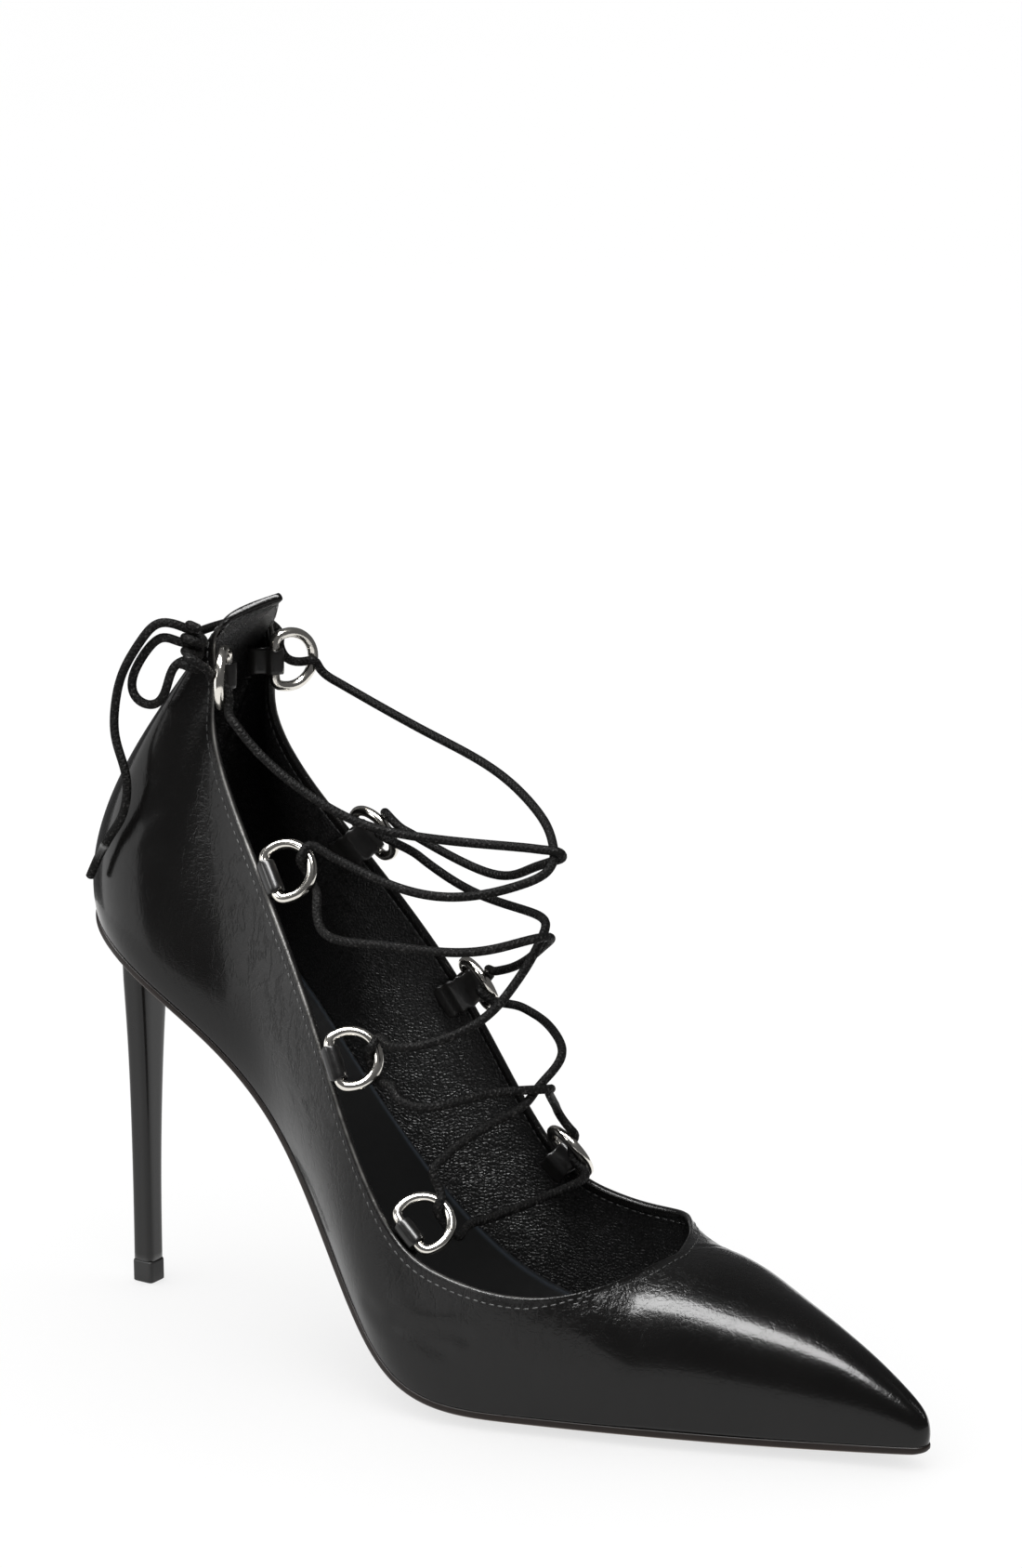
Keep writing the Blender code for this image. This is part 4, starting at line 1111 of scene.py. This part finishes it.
def build_rings():
    """D rings: a round section carried along a bar, two small corners and a circle's greater part."""
    half, centre, low = ring_circle()
    end = half * math.cos(low)
    bends = np.linspace(low + 0.16, math.pi - low - 0.16, 17)
    knots = [(0.0, 0.0), (end - 1.5, 0.0), (end - 0.45, 0.16)]
    knots += [(half * math.cos(a), centre + half * math.sin(a)) for a in bends]
    knots += [(0.45 - end, 0.16), (1.5 - end, 0.0)]
    path = smooth(knots * 2 + knots[:1], 0.35)
    length = len(path) // 2
    path = path[length // 2 : length // 2 + length]
    ahead = unit(np.roll(path, -1, axis=0) - np.roll(path, 1, axis=0))
    section = circle(wire_width() / 2 * 1.1, 18)
    for word, side, row in ring_names():
        bar, run, out, _, _ = ring_layout(side, row)
        middle = bar + path[:, :1] * run + path[:, 1:] * out
        grid = carried(middle, section, run * ahead[:, 1:] - out * ahead[:, :1], np.cross(run, out))
        sleeve(f"d_ring_{word}", grid, "silver", (f"ring_{word}",), ring=True)


def even_steps(knots, points, fineness, step, least):
    """Evenly spaced places on a spline through points at those knots."""
    fine = spline(knots, points, np.linspace(0, knots[-1], fineness * len(points)))
    along = chords(fine)
    return placed(np.linspace(0, along[-1], max(int(round(along[-1] / step)), least) + 1), along, fine)


def smooth(points, step):
    """Even steps on a spline whose knots are the lengths of its chords."""
    points = np.asarray(points, float)
    return even_steps(chords(points), points, 12, step, 4)


def strand(points, step):
    """Even steps on a spline whose knots are the numbers of the route's own points."""
    points = np.asarray(points, float)
    return even_steps(np.arange(len(points)), points, 60, step, 3)


def build_tabs():
    """Folded loops: up the inside of the wall, round the bar and down again, with a rounded flat section."""
    half = TAB_LEATHER / 2
    radius = wire_width() / 2 + 0.12 + half
    bend = -radius - 0.25
    turn = round_turn(28)
    for word, side, row in ring_names():
        bar, run, _, rise, inside = ring_layout(side, row)
        near = WALL * 0.5 - row[3] + GAP + 0.1 + half + row[5]
        far = near + TAB_LEATHER + 0.1
        foot = -bar_rise() - row[4]
        fold = (foot + bend) / 2 - 0.6
        knots = [(near, foot), (near, fold), (near - 0.1, bend - 0.7), (near - 0.7, bend - 0.1)]
        knots += [(radius * math.cos(a), radius * math.sin(a)) for a in np.radians(np.arange(262, -15, -31.0))]
        knots += [(far - 0.35, -radius), (far, bend - 0.9), (far, fold), (far, foot)]
        path = smooth(knots, 0.4)
        ahead = unit(np.gradient(path, axis=0))
        middle = bar + path[:, :1] * inside + path[:, 1:] * rise
        section = [half * signed_power(np.cos(turn), 0.45), row[6] / 2 * signed_power(np.sin(turn), 0.3)]
        share = np.linspace(0, 1, len(path))
        taper = np.clip(np.minimum(share, 1 - share) / 0.02, 0, 1) ** 0.5
        size = (taper * (1 + 0.05 * np.sin(path[:, 1] * 2.4)))[:, None, None]
        grid = carried(middle, np.stack(section, 1), inside * -ahead[:, 1:] + rise * ahead[:, :1], run, size)
        sleeve(f"ring_loop_{word}", grid, "tab", (f"ring_tab_{word}",))


def ring_arc(side, number, along):
    """Place on a ring's arc where a strand ends, and the way out of the ring."""
    bar, run, out, _, _ = ring_layout(side, RING_ROWS[number - 1])
    turn = math.radians(90 - along)
    across, ahead = run * math.cos(turn), out * math.sin(turn)
    return bar + across * ring_circle()[0] + ahead * (RING_WIDE - wire_width()), across + ahead


def clear_of_ring(arc, target):
    """A strand's end, off the ring's wire towards the strand's next point."""
    place, away = arc
    ahead = unit(np.asarray(target) - place)
    lean = math.sqrt(max(1 - np.dot(ahead, away) ** 2, 0.0))
    room = wire_width() / 2 + GAP + 0.1 + lace_width() / 2 * lean
    return place + unit(away + 0.5 * ahead) * room


def through_ring(side, number, up):
    """Places where the lace turns round a ring's wire: a part turn of a helix about the arc."""
    bar, run, out, _, _ = ring_layout(side, RING_ROWS[number - 1])
    cross = np.cross(run, out)
    half, centre, _ = ring_circle()
    radius = wire_width() / 2 + lace_width() / 2 + 0.05
    spots = []
    low = 52 if side < 0 or number == 1 else 19
    for degrees, along in ((62, low), (112, low - 14), *LACE_TURNS):
        swing = math.radians(along)
        away = out * math.cos(swing) + run * math.sin(swing)
        place = bar + out * centre + away * half
        angle = math.radians(degrees)
        spots.append(place + radius * (away * math.cos(angle) + cross * math.sin(angle) * side))
    if side > 0 and number == 4:
        spots = spots[:3] + [bar + out * 4.2 - cross * 2.4, bar + out * 3.2 - cross * 3.4 - run * 3.0]
    return np.array(spots if up else spots[::-1])


def between(number, second, shift):
    """Inner places of one crossing strand, moved a little at the crossing so that the two lie side by side."""
    side = 1 if second else -1
    route = np.array(LACE_ROUTES[number - 1][1 if second else 0], float)
    start = ring_arc(side, number, -STRAND_SWING)
    end = ring_arc(-side, number + 1, STRAND_SWING)
    path = strand([clear_of_ring(start, route[0]), *route, clear_of_ring(end, route[-1])], 3.0)
    crossing = np.array(LACE_ROUTES[number - 1][0][CROSSING_POINT[number - 1]], float)
    path[:, 0] += bell(np.linalg.norm(path - crossing, axis=1), 0.0, 7.0) * shift
    return path[2:-2]


def lace_path():
    """The lace from the knot by the outer top ring down to the bar and up again to the inner top ring."""
    parts = [LEAD_NEAR[::-1], through_ring(-1, 4, False)]
    for number, second in ((3, True), (2, False), (1, True)):
        side = 1 if second else -1
        parts += [between(number, second, side * CROSSING_SHIFT)[::-1], through_ring(side, number, False)]
    parts += [strand(BAR_ROUTE, 6.0)[::-1], through_ring(-1, 1, True)]
    for number, second in ((1, False), (2, True), (3, False)):
        side = 1 if second else -1
        parts += [between(number, second, side * CROSSING_SHIFT), through_ring(-side, number + 1, True)]
    return smooth(np.concatenate([*parts, LEAD_FAR]), 0.75)


def frames_along(path):
    """Two axes square to the path at each place, turned as little as the path allows."""
    run = unit(np.gradient(path, axis=0))
    side = unit(np.cross(run[0], (0.0, 0.3, 1.0)))
    sides = []
    for d in run:
        side = unit(side - d * np.dot(side, d))
        sides.append(side)
    sides = np.array(sides)
    return run, sides, np.cross(run, sides)


def tube(name, path, width, look, replaced=(), swell=None):
    """A round section carried along a path, drawn in to a point at both ends."""
    run, one, two = frames_along(path)
    along = chords(path)
    size = np.ones(len(path)) if swell is None else swell
    section = circle(1.0, TUBE_SIDES)
    path = np.concatenate([path[:1] - run[:1] * 0.25, path[:1] - run[:1] * 0.2, path, path[-1:] + run[-1:] * 0.2,
                           path[-1:] + run[-1:] * 0.25])
    pad = lambda rows: np.concatenate([rows[:1], rows[:1], rows, rows[-1:], rows[-1:]])
    one, two, along, size = pad(one), pad(two), pad(along), pad(size)
    size = size * np.concatenate([[0.0, 0.8], np.ones(len(path) - 4), [0.8, 0.0]])
    grid = carried(path, section, one, two, (size * width / 2)[:, None, None])
    flat = np.ones((len(path), TUBE_SIDES))
    marks = {"along": along[:, None] * flat, "sine": flat * section[:, 1], "cosine": flat * section[:, 0]}
    marks["ring"] = bell(along[:, None], 0.8, 0.5) * flat
    return sleeve(name, grid, look, replaced, marks)


def knot_path():
    """Wraps about the knot's axis, each tilted a little."""
    low, high = np.array(KNOT_LOW), np.array(KNOT_HIGH)
    axis = unit(high - low)
    one = unit(np.cross(axis, (0.0, 1.0, 0.0)))
    two = np.cross(axis, one)
    turn = np.linspace(0, KNOT_TURNS * 2 * math.pi, 110)
    share = (turn / turn[-1])[:, None]
    radius = 2.0 + 0.35 * np.sin(turn * 0.5 + 0.6)[:, None]
    ring = one * np.cos(turn)[:, None] + two * np.sin(turn)[:, None]
    tilt = axis * (0.9 * np.sin(turn + 0.8))[:, None]
    return low + (high - low) * share + ring * radius + tilt


def standing(right, up, back, place):
    """World matrix of a camera or lamp from its three axes and its place, as the columns that Blender takes."""
    return [(*right, 0.0), (*up, 0.0), (*back, 0.0), (*place, 1.0)]


class PUMP_OT_camera(bpy.types.Operator):
    """Camera at the photograph's angle"""

    bl_idname = "pump.camera"
    bl_label = "Camera"

    def execute(self, context):
        data = bpy.data.cameras.new("view")
        data.lens = context.scene.pump_studio.lens
        data.shift_x, data.shift_y = LENS_SHIFT
        data.clip_end = 60.0
        camera = bpy.data.objects.new("view", data)
        context.scene.collection.objects.link(camera)
        camera.matrix_world = standing(*CAMERA_AXES, CAMERA_PLACE)
        context.scene.camera = camera
        return {"FINISHED"}


class PUMP_OT_cords(bpy.types.Operator):
    """Knot, bow loop and hanging end at the back"""

    bl_idname = "pump.cords"
    bl_label = "Knot and ends"

    def execute(self, context):
        width = lace_width()
        knot = tube("knot", knot_path(), width, "cord", ("lace_knot",))
        path = strand([KNOT_UPPER, *LOOP_ROUTE, KNOT_LOWER], CORD_STEP)
        loop = tube("bow_loop", path, width, "cord", ("lace_loop",))
        path = strand([KNOT_TOP, *END_ROUTE], CORD_STEP)
        tail = path[-16:]
        end = tube("hanging_end", path, width, "cord", ("lace_end",))
        dipped = tube("end_tip", tail, width * 1.05, "tip", swell=np.linspace(1.0, 0.86, len(tail)))
        return {"FINISHED"}


class PUMP_OT_lace(bpy.types.Operator):
    """One lace, zigzag through the eight rings"""

    bl_idname = "pump.lace"
    bl_label = "Lace"

    def execute(self, context):
        nodes = ("lace_bar", "lace_cross_1", "lace_cross_2", "lace_cross_3", "lace_lead_near", "lace_lead_far")
        tube("lace", lace_path(), lace_width(), "cord", nodes)
        return {"FINISHED"}


class PUMP_OT_upper(bpy.types.Operator):
    """Creased outer leather with its folded edge, and the lining"""

    bl_idname = "pump.upper"
    bl_label = "Upper"

    def execute(self, context):
        build_upper_leather()
        build_lining()
        return {"FINISHED"}


def surface_of(name):
    """Search tree of a finished piece's faces."""
    work = bmesh.new()
    work.from_mesh(bpy.data.objects[name].data)
    tree = BVHTree.FromBMesh(work)
    work.free()
    return tree


def nearest_wall(walls, spot):
    """Closest place on the walls to a spot in millimetres, and the way out of the leather there."""
    found = [tree.find_nearest(tuple(spot * MM))[:4] for tree in walls]
    place, way = min(found, key=lambda hit: hit[3])[:2]
    return np.array(place) / MM, np.array(way)


class PUMP_OT_stitches(bpy.types.Operator):
    """Stitches along the topline, outside and inside"""

    bl_idname = "pump.stitches"
    bl_label = "Stitches"

    def execute(self, context):
        length = sizes().stitch / MM
        seam = sizes().seam / MM
        share = np.linspace(0.004, THROAT - 0.0005, 500)
        pitch = length + STITCH_SPACE
        walls = [surface_of(word) for word in ("upper_leather", "upper_lining")]
        for word, inset in (("outer", 0.0), ("inner", WALL)):
            lines = []
            for side in (-1, 1):
                edge = shell(side, share, inset, np.array([1.0]))[:, 0]
                skin = shell(side, share, inset, 1 - (seam / wall_reach(share))[:, None])[:, 0]
                run = unit(np.gradient(edge, axis=0))
                outward = unit(unit(np.cross(run, UP)) * -side * (1, 1, 0))
                front = edge + outward * seam - UP * seam * 0.12
                late = fade_in(share, 0.655, 0.05)[:, None]
                lines.append(skin * (1 - late) + front * late)
            line = np.concatenate([lines[0], lines[1][::-1]])
            along = chords(line)
            at = (np.arange(int(along[-1] / pitch)) + 0.5) * pitch
            spots = [nearest_wall(walls, spot) for spot in placed(at, along, line)]
            place, up = (np.array(part) for part in zip(*spots))
            run = unit(np.gradient(place, axis=0))
            way = unit(run - up * np.sum(run * up, axis=1, keepdims=True))
            across = np.cross(way, up)
            t = np.linspace(-1, 1, 7)
            thick = np.sqrt(np.maximum(1 - t**4, 0)) * THREAD
            turn = round_turn(6)
            body = place[:, None, None] + way[:, None, None] * (t * length / 2)[None, :, None, None]
            body = body + across[:, None, None] * (thick[:, None] * np.cos(turn))[None, ..., None]
            body = body + up[:, None, None] * (thick[:, None] * np.sin(turn) * 0.8 + 0.02)[None, ..., None]
            cells = (quads(7, 6, False, True)[None] + np.arange(len(body))[:, None, None] * 42).reshape(-1, 4)
            piece(f"stitches_{word}", body, cells, finish("thread"), merge=0.0005)
        return {"FINISHED"}


class PUMP_OT_sole(bpy.types.Operator):
    """Outsole with its edge, and the insole sock"""

    bl_idname = "pump.sole"
    bl_label = "Sole"

    def execute(self, context):
        build_sole()
        build_sock()
        return {"FINISHED"}


class PUMP_OT_heel(bpy.types.Operator):
    """Covered stiletto heel and its rubber top lift"""

    bl_idname = "pump.heel"
    bl_label = "Heel"

    def execute(self, context):
        build_heel()
        return {"FINISHED"}


class PUMP_OT_rings(bpy.types.Operator):
    """Polished D rings and their folded leather loops"""

    bl_idname = "pump.rings"
    bl_label = "Rings"

    def execute(self, context):
        build_rings()
        build_tabs()
        return {"FINISHED"}


class PUMP_OT_stage(bpy.types.Operator):
    """Pale floor, softboxes and the room's light"""

    bl_idname = "pump.stage"
    bl_label = "Stage"

    def execute(self, context):
        scene = context.scene
        for word, inner, outer in (("floor", 0.0, FLOOR_EDGE), ("floor_beyond", FLOOR_EDGE, FLOOR_REACH)):
            flat = np.concatenate([circle(inner, 96), circle(outer, 96)]) + FLOOR_CENTRE
            mesh = bpy.data.meshes.new(word)
            mesh.from_pydata(level_ring(flat, -0.0001).tolist(), [], quads(2, 96, False, True)[:, ::-1].tolist())
            mesh.materials.append(finish("floor"))
            floor = bpy.data.objects.new(word, mesh)
            scene.collection.objects.link(floor)
            floor.visible_glossy = word == "floor"
        for word, place, target, wide, tall in SOFTBOXES:
            self.softbox(f"{word}_box", place, target, wide, tall, getattr(scene.pump_studio, word))
        world = bpy.data.worlds.new("room")
        world.use_nodes = True
        tree = world.node_tree
        path = tree.nodes.new("ShaderNodeLightPath")
        mix = tree.nodes.new("ShaderNodeMix")
        mix.data_type = "RGBA"
        mix.inputs[6].default_value = grey(1.0)
        mix.inputs[7].default_value = (0.10, 0.10, 0.102, 1.0)
        tree.links.new(path.outputs["Is Glossy Ray"], mix.inputs[0])
        tree.links.new(mix.outputs[2], tree.nodes["Background"].inputs["Color"])
        scene.world = world
        scene.view_settings.view_transform = "Standard"
        return {"FINISHED"}

    def softbox(self, name, place, target, wide, tall, power):
        """An area light at a place, turned to the target."""
        data = bpy.data.lights.new(name, "AREA")
        data.shape = "RECTANGLE"
        data.size = wide
        data.size_y = tall
        data.energy = power
        lamp = bpy.data.objects.new(name, data)
        back = unit(np.array(place) - np.array(target))
        right = unit(np.cross((0.0, 1.0, 0.0) if abs(back[2]) > 0.9 else UP, back))
        bpy.context.scene.collection.objects.link(lamp)
        lamp.matrix_world = standing(right, np.cross(back, right), back, place)
        lamp.visible_diffuse = False
        lamp.visible_camera = False


STEPS = [PUMP_OT_camera, PUMP_OT_cords, PUMP_OT_lace, PUMP_OT_upper, PUMP_OT_stitches, PUMP_OT_sole, PUMP_OT_heel,
         PUMP_OT_rings, PUMP_OT_stage]


class PUMP_PT_panel(bpy.types.Panel):
    """Lists the pump's pieces"""

    bl_idname = "PUMP_PT_panel"
    bl_label = "Pump"
    bl_space_type = "VIEW_3D"
    bl_region_type = "UI"
    bl_category = "Pump"

    def draw(self, context):
        for step in STEPS:
            self.layout.operator(step.bl_idname)
        for group in (context.scene.pump_sizes, context.scene.pump_colours, context.scene.pump_studio):
            for word in group.__annotations__:
                self.layout.prop(group, word)


CLASSES = [PumpSizes, PumpColours, PumpStudio, *STEPS, PUMP_PT_panel]


def register():
    for kind in CLASSES:
        bpy.utils.register_class(kind)
    bpy.types.Scene.pump_sizes = bpy.props.PointerProperty(type=PumpSizes)
    bpy.types.Scene.pump_colours = bpy.props.PointerProperty(type=PumpColours)
    bpy.types.Scene.pump_studio = bpy.props.PointerProperty(type=PumpStudio)


def unregister():
    del bpy.types.Scene.pump_sizes
    del bpy.types.Scene.pump_colours
    del bpy.types.Scene.pump_studio
    for kind in reversed(CLASSES):
        bpy.utils.unregister_class(kind)


def main():
    register()
    bpy.ops.pump.camera()
    bpy.ops.pump.cords()
    bpy.ops.pump.lace()
    bpy.ops.pump.upper()
    bpy.ops.pump.stitches()
    bpy.ops.pump.sole()
    bpy.ops.pump.heel()
    bpy.ops.pump.rings()
    bpy.ops.pump.stage()


if __name__ == "__main__":
    main()
